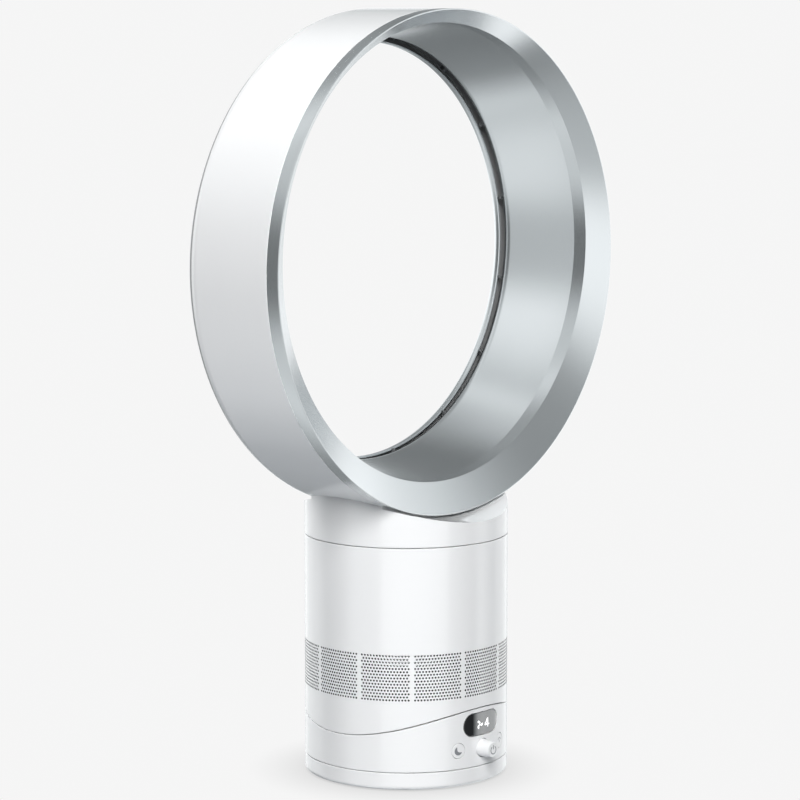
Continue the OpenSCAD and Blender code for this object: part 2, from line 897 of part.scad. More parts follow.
// How far from the body's axis a flat flange of radius r clears the wall's inside
function behind_wall(r) = sqrt(body_in * body_in - r * r) - slide_gap;

// Side of the dial, turned round its axis from the root to the rounded tip
module dial_outline() {
    root = behind_wall(dial_flange_r);
    tip = body_r + dial_out;
    difference() {
        polygon([[0, root - dial_flange_t], [dial_flange_r, root - dial_flange_t],
                 [dial_flange_r, root], [dial_d / 2, root], [dial_d / 2, body_r],
                 [dial_tip_d / 2, tip - dial_round], [dial_tip_d / 2, tip], [0, tip]]);
        difference() {
            translate([dial_tip_d / 2 - dial_round, tip - dial_round]) square(2 * dial_round);
            translate([dial_tip_d / 2 - dial_round, tip - dial_round]) circle(r = dial_round);
        }
    }
}

module power_dial() {
    shaft_end = rotor_back + dial_travel + slide_gap;
    color("white") translate([0, 0, dial_z]) rotate([90, 0, 0]) {
        rotate_extrude() dial_outline();
        translate([0, 0, shaft_end]) d_bar(dial_shaft_r, behind_wall(dial_flange_r) - shaft_end);
    }
}

module push_button(side) {
    flange_z = behind_wall(button_flange_r) - button_flange_t;
    stem_z = switch_front + button_travel + slide_gap;
    color("white") intersection() {
        at_button(side) {
            translate([0, 0, flange_z]) cylinder(r = button_d / 2, h = body_r);
            translate([0, 0, flange_z]) cylinder(r = button_flange_r, h = button_flange_t);
            translate([0, 0, stem_z]) cylinder(r = button_stem_r, h = flange_z - stem_z + fit);
        }
        cylinder(r = body_r, h = body_d);
    }
}

module sleep_button() push_button(-1);

module oscillation_button() push_button(1);

// Tilting body

module block_holes() {
    step = block_span / (hole_columns - 1);
    for (row = [0 : hole_rows - 1]) {
        odd = row % 2;
        for (column = [0 : hole_columns - 1 - odd])
            rotate([0, 0, -block_span / 2 + (column + odd / 2) * step])
                translate([0, 0, holes_z + row * holes_h / (hole_rows - 1)]) rotate([90, 0, 0])
                    translate([0, 0, body_in - over]) cylinder(r = hole_d / 2, h = wall + 2 * over, $fn = 24);
    }
}

module body_shell() {
    color("white") {
        difference() {
            ring(body_in, body_r, saddle_z - over, top_z - seam / 2 - saddle_z + over);
            tilt_layer(tilt_r, 2 * tilt_r);
            for (i = [0 : block_count - 1]) rotate([0, 0, i * 360 / block_count]) block_holes();
        }
        ring(body_in - ledge_w, body_in + fit, inlet_ledge_z, ledge_t);
        ring(body_in - ledge_w, body_in + fit, body_collar_z - ledge_t, ledge_t);
    }
}

module tilt_plate() {
    color("gainsboro") difference() {
        union() {
            intersection() {
                tilt_layer(tilt_r - tilt_plate_t, tilt_r);
                cylinder(r = body_in - fit, h = tilt_z);
            }
            difference() {
                for (x = [-1, 1] * (motor_board_w / 2 - standoff_inset))
                    for (y = [-1, 1] * (motor_board_d / 2 - standoff_inset))
                        translate([x, y, saddle_z]) cylinder(r = standoff_r, h = motor_board_z - saddle_z);
                tilt_layer(tilt_r - tilt_plate_t / 2, 2 * tilt_r);
            }
        }
        runner_screw_places() cylinder(r = runner_shank_r + fit, h = 4 * tilt_plate_t, center = true);
    }
}

// The runners' screws stand on the tilting axis, with their heads down
module runner_screw_places() {
    for (sx = [-1, 1]) for (side = [-1, 1])
        translate([sx * (runner_x + runner_t / 2), 0, tilt_z]) rotate([side * runner_screw_angle, 0, 0])
            translate([0, 0, -tilt_r]) children();
}

module tilt_runners() {
    color("silver") difference() {
        mirrored() {
            tilt_block(runner_x, runner_t, tilt_r, runner_low_r, runner_angle);
            tilt_block(runner_x, runner_t + runner_hook, saddle_low_r + slide_gap,
                       runner_low_r, runner_angle);
        }
        runner_screw_places()
            translate([0, 0, tilt_r - runner_low_r]) runner_screw_room();
    }
}

module runner_screw_room() {
    screw_room(0, runner_low_r - tilt_r + tilt_plate_t, runner_shank_r, runner_head_r, screw_head_h);
}

module runner_screws() {
    color("gray") runner_screw_places() translate([0, 0, tilt_r - runner_low_r])
        screw(0, runner_low_r - tilt_r + tilt_plate_t, runner_shank_r, runner_head_r, screw_head_h);
}

module silencer_foam() {
    color("darkslategray") difference() {
        ring(foam_in, body_in - foam_gap, saddle_z, foam_top);
        tilt_layer(tilt_r - tilt_plate_t - foam_gap, 2 * tilt_r);
    }
}

module motor_board() {
    color("darkgreen") union() {
        translate([-motor_board_w / 2, -motor_board_d / 2, motor_board_z])
            cube([motor_board_w, motor_board_d, board_t]);
        for (sx = [-1, 1]) translate([sx * chip_w - chip_w / 2, -chip_w / 2, motor_board_z])
            cube([chip_w, chip_w, board_t + chip_h]);
    }
}

module inlet_plate() {
    color("gainsboro") {
        ring(inlet_bore_r, body_in - fit, inlet_z, inlet_t);
        ring(inlet_bore_r, inlet_bore_r + ledge_t, inlet_z - inlet_collar_h, inlet_collar_h + fit);
    }
}

module inlet_seal() {
    color("dimgray") ring(inlet_bore_r + inlet_seal_gap, inlet_bore_r + inlet_seal_gap + inlet_seal_w,
                          inlet_z + inlet_t, inlet_seal_h);
}

module duct_mounts() {
    color("dimgray") around(mount_count, body_in - mount_inset) translate([0, 0, inlet_z + inlet_t])
        cylinder(r = mount_r, h = inlet_seal_h);
}

module impeller_shroud() {
    bend = impeller_top + 2 * shroud_t;
    flange_r = body_in - shroud_flange_inset;
    color("gainsboro") rotate_extrude() polygon([
        [eye_r + blade_gap, shroud_z], [flange_r, shroud_z], [flange_r, shroud_z + shroud_t],
        [eye_r + blade_gap + 2 * shroud_t, shroud_z + shroud_t], [tip_r + blade_gap + shroud_t, impeller_top],
        [duct_r + shroud_t, bend], [duct_r + shroud_t, duct_top - shroud_t],
        [top_flange_r, duct_top - shroud_t], [top_flange_r, duct_top],
        [duct_r, duct_top], [duct_r, bend], [tip_r + blade_gap, impeller_top]]);
}

// Blade in plan: half a ring whose centre lies beside the axis
module plan_blade(arc_r, arc_x, t) {
    intersection() {
        translate([arc_x, 0]) difference() {
            circle(r = arc_r);
            circle(r = arc_r - t);
        }
        square(body_d);
    }
}

module motor_bucket() {
    floor_top_z = bucket_z + bucket_floor_t;
    color("gainsboro") difference() {
        union() {
            translate([0, 0, bucket_z]) cylinder(r = bucket_r, h = bucket_h);
            translate([0, 0, bucket_z + vane_low]) intersection() {
                linear_extrude(vane_h) for (i = [0 : vane_count - 1]) rotate(i * 360 / vane_count)
                    plan_blade(vane_arc_r, vane_arc_x, vane_t);
                ring(bucket_r - over, duct_r - fit, -over, vane_h + 2 * over);
            }
        }
        difference() {
            translate([0, 0, floor_top_z]) cylinder(r = bucket_r - bucket_t, h = bucket_h);
            translate([0, 0, bucket_z])
                cylinder(r = bearing_r + bearing_boss_w, h = bucket_floor_t + bearing_h);
            around(cap_screw_count, cap_screw_at) translate([0, 0, bucket_top - cap_lug_h])
                cylinder(r = cap_lug_r, h = cap_lug_h);
        }
        translate([0, 0, floor_top_z]) cylinder(r = bearing_r + fit, h = bearing_h + over);
        translate([0, 0, bucket_z - over]) cylinder(r = shaft_r + shaft_hole_gap, h = bucket_h);
        around(cap_screw_count, cap_screw_at) cap_screw_turned() cap_screw_hole();
    }
}

// The cap's screws point down from the cap's top
module cap_screw_turned() {
    translate([0, 0, bucket_top + cap_t]) rotate([180, 0, 0]) children();
}

module cap_screw_hole() {
    screw_room(0, cap_screw_l, cap_screw_r, cap_head_r, cap_head_h);
}

module bearing(z) {
    color("silver") ring(shaft_r + run_fit, bearing_r, z, bearing_h);
}

module lower_bearing() bearing(bucket_z + bucket_floor_t);

module upper_bearing() bearing(upper_bearing_z);

module bucket_cap() {
    color("gainsboro") difference() {
        union() {
            translate([0, 0, bucket_top]) cylinder(r = bucket_r, h = cap_t);
            translate([0, 0, bucket_top - cap_boss_h])
                cylinder(r = bearing_r + bearing_boss_w, h = cap_boss_h);
        }
        translate([0, 0, upper_bearing_z - over]) cylinder(r = bearing_r + fit, h = bearing_h + over);
        around(cap_screw_count, cap_screw_at) cap_screw_turned() cap_screw_hole();
    }
}

module cap_screws() {
    color("gray") around(cap_screw_count, cap_screw_at) cap_screw_turned()
        screw(0, cap_screw_l - fit, cap_screw_r, cap_head_r, cap_head_h);
}

module stator_teeth(width, r_in, r_out, h, run = 0) {
    for (i = [0 : tooth_count - 1]) rotate([0, 0, i * 360 / tooth_count])
        translate([r_in, -width / 2, -run]) cube([r_out - r_in, width, h + 2 * run]);
}

module stator_core() {
    yoke_in = stator_out - stator_yoke;
    color("slategray") translate([0, 0, stator_z]) difference() {
        cylinder(r = stator_out, h = stator_h);
        difference() {
            translate([0, 0, -over]) cylinder(r = yoke_in, h = stator_h + 2 * over);
            stator_teeth(tooth_w, stator_in - over, yoke_in + stator_yoke / 2, stator_h, 2 * over);
        }
        translate([0, 0, -over]) cylinder(r = stator_in, h = stator_h + 2 * over);
    }
}

module stator_coils() {
    color("chocolate") translate([0, 0, stator_z - coil_over]) difference() {
        stator_teeth(coil_w, coil_in, stator_out - stator_yoke - coil_gap, stator_h + 2 * coil_over);
        translate([0, 0, coil_over - fit])
            stator_teeth(tooth_w + 2 * fit, stator_in, stator_out, stator_h + 2 * fit);
    }
}

module nose_cone() {
    dome_r = (bucket_r * bucket_r + nose_h * nose_h) / (2 * nose_h);
    base_z = bucket_top + cap_t;
    color("gainsboro") translate([0, 0, base_z]) rotate_extrude() intersection() {
        square([bucket_r, nose_h]);
        translate([0, nose_h - dome_r]) difference() {
            circle(r = dome_r, $fn = ring_fn);
            circle(r = dome_r - nose_t, $fn = ring_fn);
        }
    }
}

// Sector of a ring, centred on the angle given
module sector(r_in, r_out, z, h, span, at) {
    reach = r_out / cos(span / 2);
    intersection() {
        ring(r_in, r_out, z, h);
        rotate([0, 0, at]) translate([0, 0, z - over]) linear_extrude(h + 2 * over)
            polygon([[0, 0], [reach * cos(span / 2), -reach * sin(span / 2)],
                     [2 * reach, 0], [reach * cos(span / 2), reach * sin(span / 2)]]);
    }
}

module body_collar() {
    slot_r = collar_in + lug_w + slide_gap;
    color("gainsboro") difference() {
        ring(collar_in, body_in - fit, body_collar_z, body_collar_h);
        ring(collar_in - over, slot_r, lug_room_low, lug_room_h);
        for (i = [0 : lug_count - 1])
            sector(collar_in - over, slot_r, lug_room_low, body_collar_h, lug_angle + 2 * lug_side_angle,
                   lug_start_angle + twist_range + i * 360 / lug_count);
    }
}

module outlet_seal() {
    color("dimgray") ring(duct_r + shroud_t, top_flange_r, duct_top,
                          neck_z - seal_squeeze - duct_top);
}

// Impeller and its motor's turning part

module impeller() {
    color("black") {
        rotate_extrude() polygon([
            [shaft_r, impeller_z], [hub_low_r, impeller_z], [bucket_r, impeller_top],
            [bucket_r - hub_skin, impeller_top], [hub_boss_r, impeller_z + hub_boss_low],
            [hub_boss_r, impeller_top - hub_boss_top], [shaft_r, impeller_top - hub_boss_top]]);
        intersection() {
            translate([0, 0, impeller_z]) linear_extrude(impeller_h)
                for (i = [0 : blade_count - 1]) rotate(i * 360 / blade_count)
                    plan_blade(blade_arc_r, blade_arc_x, blade_t);
            rotate_extrude() polygon([
                [hub_low_r - over, impeller_z], [eye_r, impeller_z], [tip_r, impeller_top],
                [bucket_r - hub_skin / 2, impeller_top]]);
        }
    }
}

module motor_shaft() {
    color("silver") translate([0, 0, impeller_z])
        cylinder(r = shaft_r, h = upper_bearing_z + bearing_h - impeller_z);
}

module rotor_magnet() {
    color("dimgray") ring(shaft_r, magnet_r, stator_z, stator_h);
}

// Air ring

// Body of the flared opening: a cone whose ends lie on two axes
module flare_core() {
    hull() {
        ring_disc(ring_r - edge_flat, front_y - over, front_y, ring_z, flare_fn);
        ring_disc(guide_r - flare_step, flare_y - flare_step, flare_y, bore_z, flare_fn);
    }
}

// Surface of the bore from the straight part to the rolled rear edge,
// moved outward by the distance given
function bore_line(out) = concat(
    [[guide_r + out, flare_y - flare_wall], [guide_r + out, guide_y + out * tan(diffuser_angle / 2)]],
    [for (a = [-diffuser_angle : nose_step_angle : nose_end_angle])
        [nose_centre_r - (nose_r - out) * cos(a), nose_centre_y + (nose_r - out) * sin(a)]]);

function reversed(list) = [for (i = [len(list) - 1 : -1 : 0]) list[i]];

module loop_liner() {
    color("silver") difference() {
        union() {
            difference() {
                ring_disc(ring_r, front_y, band_y, ring_z);
                ring_disc(ring_r - casing_wall, front_y + flare_wall, band_y + over, ring_z);
            }
            translate([0, flare_wall, 0]) flare_core();
            turn_about_y(bore_z) polygon(concat(bore_line(0), reversed(bore_line(liner_wall))));
        }
        flare_core();
        ring_disc(guide_r - flare_step, flare_y - over, flare_y + flare_wall + over, bore_z);
    }
}

// Profile of the casing's outer skin and back, round the ring's axis
module casing_outline() {
    arc_r = ring_r - casing_corner;
    arc_y = back_y - casing_corner;
    inner_r = throat_r - 2 * casing_corner;
    translate([ring_r - casing_wall, band_y]) square([casing_wall, arc_y - band_y]);
    translate([inner_r, back_y - casing_wall]) square([arc_r - inner_r, casing_wall]);
    intersection() {
        translate([arc_r, arc_y]) difference() {
            circle(r = casing_corner);
            circle(r = casing_corner - casing_wall);
        }
        translate([arc_r, arc_y]) square(casing_corner);
    }
}

// Profile of the rolled rear lip, round the bore's axis
module lip_outline() {
    tail = lip_round / 2;
    intersection() {
        translate([lip_centre_r, lip_centre_y]) difference() {
            circle(r = lip_round);
            circle(r = lip_round - lip_wall);
        }
        translate([lip_r - over, lip_centre_y]) square([lip_round + over, lip_round + over]);
    }
    translate([lip_centre_r, back_y - lip_wall]) square([tail, lip_wall]);
}

// The neck below the ring: its top is a shelf round the ring's axis
module neck_solid(r, low, lift) {
    rear_y = back_y - casing_corner - lift;
    front = band_y + lift;
    difference() {
        translate([0, 0, low]) cylinder(r = r, h = ring_r);
        ring_disc(ring_r + shelf_gap + lift, -body_d, front, ring_z);
        ring_disc(ring_r + shelf_gap + lift, rear_y, body_d, ring_z);
        ring_disc(ring_r - casing_wall / 2 - lift, front - over, rear_y + over, ring_z);
        translate([-body_d, -body_d, ring_z - ring_r / 2]) cube([2 * body_d, 2 * body_d, ring_r]);
    }
}

module loop_casing() {
    ledge_z = neck_z + adapter_t;
    color("white") difference() {
        union() {
            difference() {
                union() {
                    difference() {
                        turn_about_y(ring_z) casing_outline();
                        ring_disc(lip_centre_r, lip_centre_y, back_y + over, bore_z);
                    }
                    neck_solid(body_r, neck_z, 0);
                    turn_about_y(bore_z) lip_outline();
                }
                neck_solid(body_in, neck_z - over, casing_wall);
            }
            ring(body_in - ledge_w, body_in + fit, ledge_z, ledge_t);
            wall_screw_places()
                translate([0, 0, ledge_z]) cylinder(r = screw_boss_r, h = adapter_boss_h);
        }
        wall_screw_places() screw_room(neck_z, adapter_screw_l);
    }
}

module loop_seal() {
    color("dimgray") turn_about_y(ring_z)
        translate([ring_r - casing_wall - seal_w - fit, band_y - seal_t / 2]) square([seal_w, seal_t]);
}

module slot_spacers() {
    color("silver") translate([0, 0, bore_z]) rotate([-90, 0, 0]) around(spacer_count, 0, 180 / spacer_count)
        translate([0, spacer_t / 2, 0]) rotate([90, 0, 0]) linear_extrude(spacer_t) intersection() {
            difference() {
                translate([lip_centre_r, lip_centre_y]) circle(r = lip_round - lip_wall - fit);
                translate([nose_centre_r, nose_centre_y]) circle(r = nose_r + fit);
            }
            translate([lip_r, lip_centre_y + fit]) square([lip_round, lip_round]);
        }
}

module flow_splitter() {
    low_z = bore_z - guide_r - liner_wall - splitter_drop;
    half = splitter_w / 2;
    color("gainsboro") difference() {
        translate([0, band_y + casing_wall, 0]) rotate([90, 0, 0]) mirror([0, 0, 1])
            linear_extrude(back_y - casing_corner - band_y - 2 * casing_wall)
                polygon([[0, low_z], [half, low_z + splitter_drop], [half, low_z + 2 * splitter_drop],
                         [-half, low_z + 2 * splitter_drop], [-half, low_z + splitter_drop]]);
        turn_about_y(bore_z) polygon(concat([[0, flare_y - flare_wall]], bore_line(liner_wall + fit),
                                            [[nose_centre_r, nose_centre_y], [0, nose_centre_y]]));
    }
}

module nozzle_adapter() {
    color("gainsboro") difference() {
        union() {
            ring(adapter_in, body_in - fit, neck_z, adapter_t);
            ring(spigot_out - spigot_t, spigot_out, neck_z - spigot_drop, spigot_drop + fit);
            for (i = [0 : lug_count - 1])
                sector(spigot_out - over, spigot_out + lug_w, lug_z + lug_rise, lug_h, lug_angle,
                       lug_start_angle + i * 360 / lug_count);
        }
        wall_screw_places() screw_room(neck_z, adapter_screw_l);
    }
}

module adapter_screws() {
    color("gray") wall_screw_places()
        screw(neck_z, adapter_screw_l - fit);
}

rubber_feet();
base_plate();
foot_shell();
foot_screws();
ring_gear();
gear_screws();
pivot_post();
pivot_collar();
glide_ring();
cord_gland();
control_housing();
turret_floor();
turret_screws();
tilt_saddle();
tilt_glides();
display_window();
display_segments();
display_board();
control_board();
encoder_body();
button_switches();
oscillation_motor();
motor_screws();
oscillation_pinion();
dial_rotor();
power_dial();
sleep_button();
oscillation_button();
body_shell();
tilt_plate();
tilt_runners();
runner_screws();
silencer_foam();
motor_board();
inlet_plate();
inlet_seal();
duct_mounts();
impeller_shroud();
motor_bucket();
lower_bearing();
upper_bearing();
bucket_cap();
cap_screws();
stator_core();
stator_coils();
nose_cone();
body_collar();
outlet_seal();
impeller();
motor_shaft();
rotor_magnet();
loop_casing();
loop_liner();
loop_seal();
slot_spacers();
flow_splitter();
nozzle_adapter();
adapter_screws();
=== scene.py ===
"""Looks of a desk fan with a hollow air ring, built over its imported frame.

Sizes are in millimetres, as on a maker's drawing, and every mesh is in metres.
+Z is up and the front faces -Y. Angles round the body start at the front and
grow towards +X.
"""

import json
import logging
import math
from dataclasses import dataclass, field
from enum import Enum
from typing import Any, Callable, Optional, Sequence

import bmesh
import bpy
import numpy as np
from mathutils import Matrix, Vector


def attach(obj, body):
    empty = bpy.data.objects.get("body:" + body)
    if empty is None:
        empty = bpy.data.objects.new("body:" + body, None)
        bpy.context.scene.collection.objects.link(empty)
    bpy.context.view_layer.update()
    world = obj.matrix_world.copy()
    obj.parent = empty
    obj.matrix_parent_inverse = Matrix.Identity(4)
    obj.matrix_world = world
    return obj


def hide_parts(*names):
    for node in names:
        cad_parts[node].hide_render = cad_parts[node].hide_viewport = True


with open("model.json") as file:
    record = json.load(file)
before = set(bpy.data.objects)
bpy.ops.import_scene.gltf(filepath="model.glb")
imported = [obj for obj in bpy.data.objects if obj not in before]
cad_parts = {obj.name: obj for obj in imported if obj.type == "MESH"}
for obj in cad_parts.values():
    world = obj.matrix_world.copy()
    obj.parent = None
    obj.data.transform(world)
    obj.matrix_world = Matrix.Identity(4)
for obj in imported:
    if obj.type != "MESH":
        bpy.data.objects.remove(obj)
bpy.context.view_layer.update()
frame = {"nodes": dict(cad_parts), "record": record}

LOG = logging.getLogger("desk_fan")
MM = 0.001

Point = tuple[float, float]
Place = tuple[float, float, float]


def node_operator(operation: str, turned: bool = False) -> Callable[["Wire", Any], "Wire"]:
    """Makes the method of a Python operator on wires.

    Args:
        operation: Operation of the Math or Vector Math node.
        turned: Whether the other value is the first input.

    Returns:
        The method, which adds the node and gives the wire of its result.
    """

    def method(wire: "Wire", other: Any) -> "Wire":
        """Adds the node of the operation."""
        first, second = (other, wire) if turned else (wire, other)
        kinds = [value.socket.type for value in (first, second) if isinstance(value, Wire)]
        kind = "ShaderNodeVectorMath" if "VECTOR" in kinds else "ShaderNodeMath"
        return wire.graph.node(kind, {"operation": operation}, {0: first, 1: second})

    return method


class Wire:
    """Output socket of a node that takes part in Python expressions."""

    def __init__(self, graph: "Graph", socket: Optional[bpy.types.NodeSocket]) -> None:
        """Keeps the graph that new nodes go to, and the output socket if there is one."""
        self.graph = graph
        self.socket = socket

    __add__ = node_operator("ADD")
    __radd__ = node_operator("ADD", turned=True)
    __sub__ = node_operator("SUBTRACT")
    __rsub__ = node_operator("SUBTRACT", turned=True)
    __mul__ = node_operator("MULTIPLY")
    __rmul__ = node_operator("MULTIPLY", turned=True)
    __truediv__ = node_operator("DIVIDE")
    __mod__ = node_operator("FLOORED_MODULO")
    __gt__ = node_operator("GREATER_THAN")


class Graph:
    """Node tree under construction, of a material, the world or a modifier."""

    def __init__(self, tree: bpy.types.NodeTree) -> None:
        """Empties the tree that the nodes are made in."""
        self.tree = tree
        tree.nodes.clear()

    def node(self, kind: str, settings: Optional[dict[str, Any]] = None,
             sockets: Optional[dict[Any, Any]] = None, output: Any = 0) -> Wire:
        """Adds a node: its settings first, then its sockets.

        Args:
            kind: Type name of the node.
            settings: Values of the node's own properties; "stops" fills a ramp.
            sockets: Values or wires by the input's name or number.
            output: Name or number of the output that is wanted.

        Returns:
            The wire of that output.
        """
        item = self.tree.nodes.new(kind)
        for name, value in (settings or {}).items():
            if name == "stops":
                self._fill_ramp(item.color_ramp, value)
            else:
                setattr(item, name, value)
        for name, value in (sockets or {}).items():
            self._feed(item.inputs[name], value)
        return Wire(self, item.outputs[output] if item.outputs else None)

    def call(self, operation: str, value: Any, other: Any = 0.0) -> Wire:
        """Adds a Math node by the name of its operation, such as SINE."""
        return self.node("ShaderNodeMath", {"operation": operation}, {0: value, 1: other})

    def mix(self, factor: Any, first: Any, second: Any) -> Wire:
        """Mixes two colours, the second by the share that the factor says."""
        return self.node("ShaderNodeMix", {"data_type": "RGBA"}, {0: factor, 6: first, 7: second}, 2)

    def curve(self, value: Any, stops: Sequence[tuple[float, float]]) -> Wire:
        """Maps a number from 0 to 1 through a ramp of pairs of position and grey level."""
        colours = [(place, (level, level, level)) for place, level in stops]
        return self.node("ShaderNodeValToRGB", {"stops": colours}, {0: value})

    def axes(self, place: Wire) -> list[Wire]:
        """Splits a place into its X, Y and Z."""
        split = self.node("ShaderNodeSeparateXYZ", None, {0: place})
        return [Wire(self, output) for output in split.socket.node.outputs]

    def _feed(self, socket: bpy.types.NodeSocket, value: Any) -> None:
        """Links a wire, or several, to an input, or sets its value.

        Args:
            socket: Input socket.
            value: Wire, list of wires, number, colour, vector or data block.
        """
        if isinstance(value, Wire):
            self.tree.links.new(value.socket, socket)
        elif isinstance(value, list):
            for wire in value:
                self.tree.links.new(wire.socket, socket)
        elif socket.type == "RGBA":
            socket.default_value = (*value, 1.0)
        elif socket.type == "VECTOR" and isinstance(value, (int, float)):
            socket.default_value = (value, value, value)
        else:
            socket.default_value = value

    @staticmethod
    def _fill_ramp(ramp: bpy.types.ColorRamp, stops: Sequence[tuple[float, Place]]) -> None:
        """Replaces the stops of a colour ramp.

        Args:
            ramp: Ramp to be filled.
            stops: Pairs of position and colour.
        """
        while len(ramp.elements) > 1:
            ramp.elements.remove(ramp.elements[-1])
        for number, (place, colour) in enumerate(stops):
            stop = ramp.elements[0] if number == 0 else ramp.elements.new(place)
            stop.position = place
            stop.color = (*colour, 1.0)


def new_material(name: str) -> tuple[bpy.types.Material, Graph]:
    """Makes a node material.

    Args:
        name: Name of the material.

    Returns:
        The material and its empty graph.
    """
    material = bpy.data.materials.new(name)
    material.use_nodes = True
    return material, Graph(material.node_tree)


class Grain(Enum):
    """Fine structure of a surface."""

    MOULDED = "moulded"
    FLAKED = "flaked"
    PORED = "pored"
    TURNED = "turned"
    WOUND = "wound"


@dataclass(frozen=True)
class Finish:
    """Surface of one material slot, with the fine grain of the real one.

    Tones are shares of the colour, grain and bump are in millimetres, and the broad
    scale is the number of slow changes over a metre.
    """

    slot: str
    colour: Place
    roughness: float
    metallic: float = 0.0
    coat: float = 0.0
    coat_roughness: float = 0.03
    coat_ior: float = 1.5
    specular: float = 0.5
    grain: Grain = Grain.MOULDED
    grain_size: float = 0.8
    tone_change: float = 0.02
    rough_change: float = 0.04
    bump: float = 0.004
    broad_scale: float = 14.0
    glow: float = 0.0

    def material(self) -> bpy.types.Material:
        """Builds the node material, or returns the one that was built before."""
        known = bpy.data.materials.get(self.slot + "_finish")
        if known:
            return known
        material, graph = new_material(self.slot + "_finish")
        grain = self._grain(graph)
        broad = self._broad(graph)
        tone = 1.0 + (grain - 0.5) * self.tone_change + (broad - 0.5) * self.tone_change
        colour = graph.node("ShaderNodeVectorMath", {"operation": "SCALE"}, {0: self.colour, 3: tone})
        rough = self.roughness + (grain - 0.5) * self.rough_change + (broad - 0.5) * self.rough_change
        normal = graph.node("ShaderNodeBump", None, {
            "Strength": 1.0, "Distance": self.bump * MM, "Height": grain})
        shader = graph.node("ShaderNodeBsdfPrincipled", None, self._sockets(colour, rough, normal))
        graph.node("ShaderNodeOutputMaterial", None, {"Surface": shader})
        return material

    def _sockets(self, colour: Any, rough: Any, normal: Any) -> dict[str, Any]:
        """Values and wires of the shader's sockets.

        Args:
            colour: Wire of the colour.
            rough: Wire of the roughness.
            normal: Wire of the bumped normal.

        Returns:
            The values by the socket's name.
        """
        sockets = {
            "Base Color": colour,
            "Roughness": rough,
            "Normal": normal,
            "Metallic": self.metallic,
            "Coat Weight": self.coat,
            "Coat Roughness": self.coat_roughness,
            "Coat IOR": self.coat_ior,
            "Specular IOR Level": self.specular,
        }
        if self.glow:
            sockets["Emission Color"] = self.colour
            sockets["Emission Strength"] = self.glow
        return sockets

    def _place(self, graph: Graph, stretch: Place) -> Wire:
        """Place on the piece in grains, stretched along its axes."""
        scale = tuple(share / (self.grain_size * MM) for share in stretch)
        return graph.node("ShaderNodeMapping", None, {
            "Vector": graph.node("ShaderNodeTexCoord", output="Object"), "Scale": scale})

    def _grain(self, graph: Graph) -> Wire:
        """Level of the fine grain, from 0 to 1.

        Args:
            graph: Graph of the material.

        Returns:
            The wire of the level.
        """
        kind, settings, extra, output = "ShaderNodeTexNoise", {}, {"Detail": 3.0}, "Fac"
        stretch = (1.0, 1.0, 1.0)
        if self.grain is Grain.FLAKED:
            kind, extra, output = "ShaderNodeTexVoronoi", {}, "Distance"
        elif self.grain is Grain.PORED:
            kind, settings, output = "ShaderNodeTexVoronoi", {"feature": "SMOOTH_F1"}, "Distance"
            extra = {"Smoothness": 0.4}
        elif self.grain is Grain.TURNED:
            stretch = (0.2, 0.2, 3.0)
            extra = {"Detail": 2.0}
        elif self.grain is Grain.WOUND:
            kind, settings, extra = "ShaderNodeTexWave", {"bands_direction": "Z"}, {"Distortion": 1.2}
        place = self._place(graph, stretch)
        level = graph.node(kind, settings, {"Vector": place, "Scale": 1.0, **extra}, output)
        return graph.curve(level, [(0.1, 0.0), (0.6, 1.0)]) if self.grain is Grain.PORED else level

    def _broad(self, graph: Graph) -> Wire:
        """Slow change over the whole piece, from 0 to 1."""
        place = graph.node("ShaderNodeTexCoord", output="Object")
        return graph.node("ShaderNodeTexNoise", None, {
            "Vector": place, "Scale": self.broad_scale, "Detail": 2.0}, "Fac")


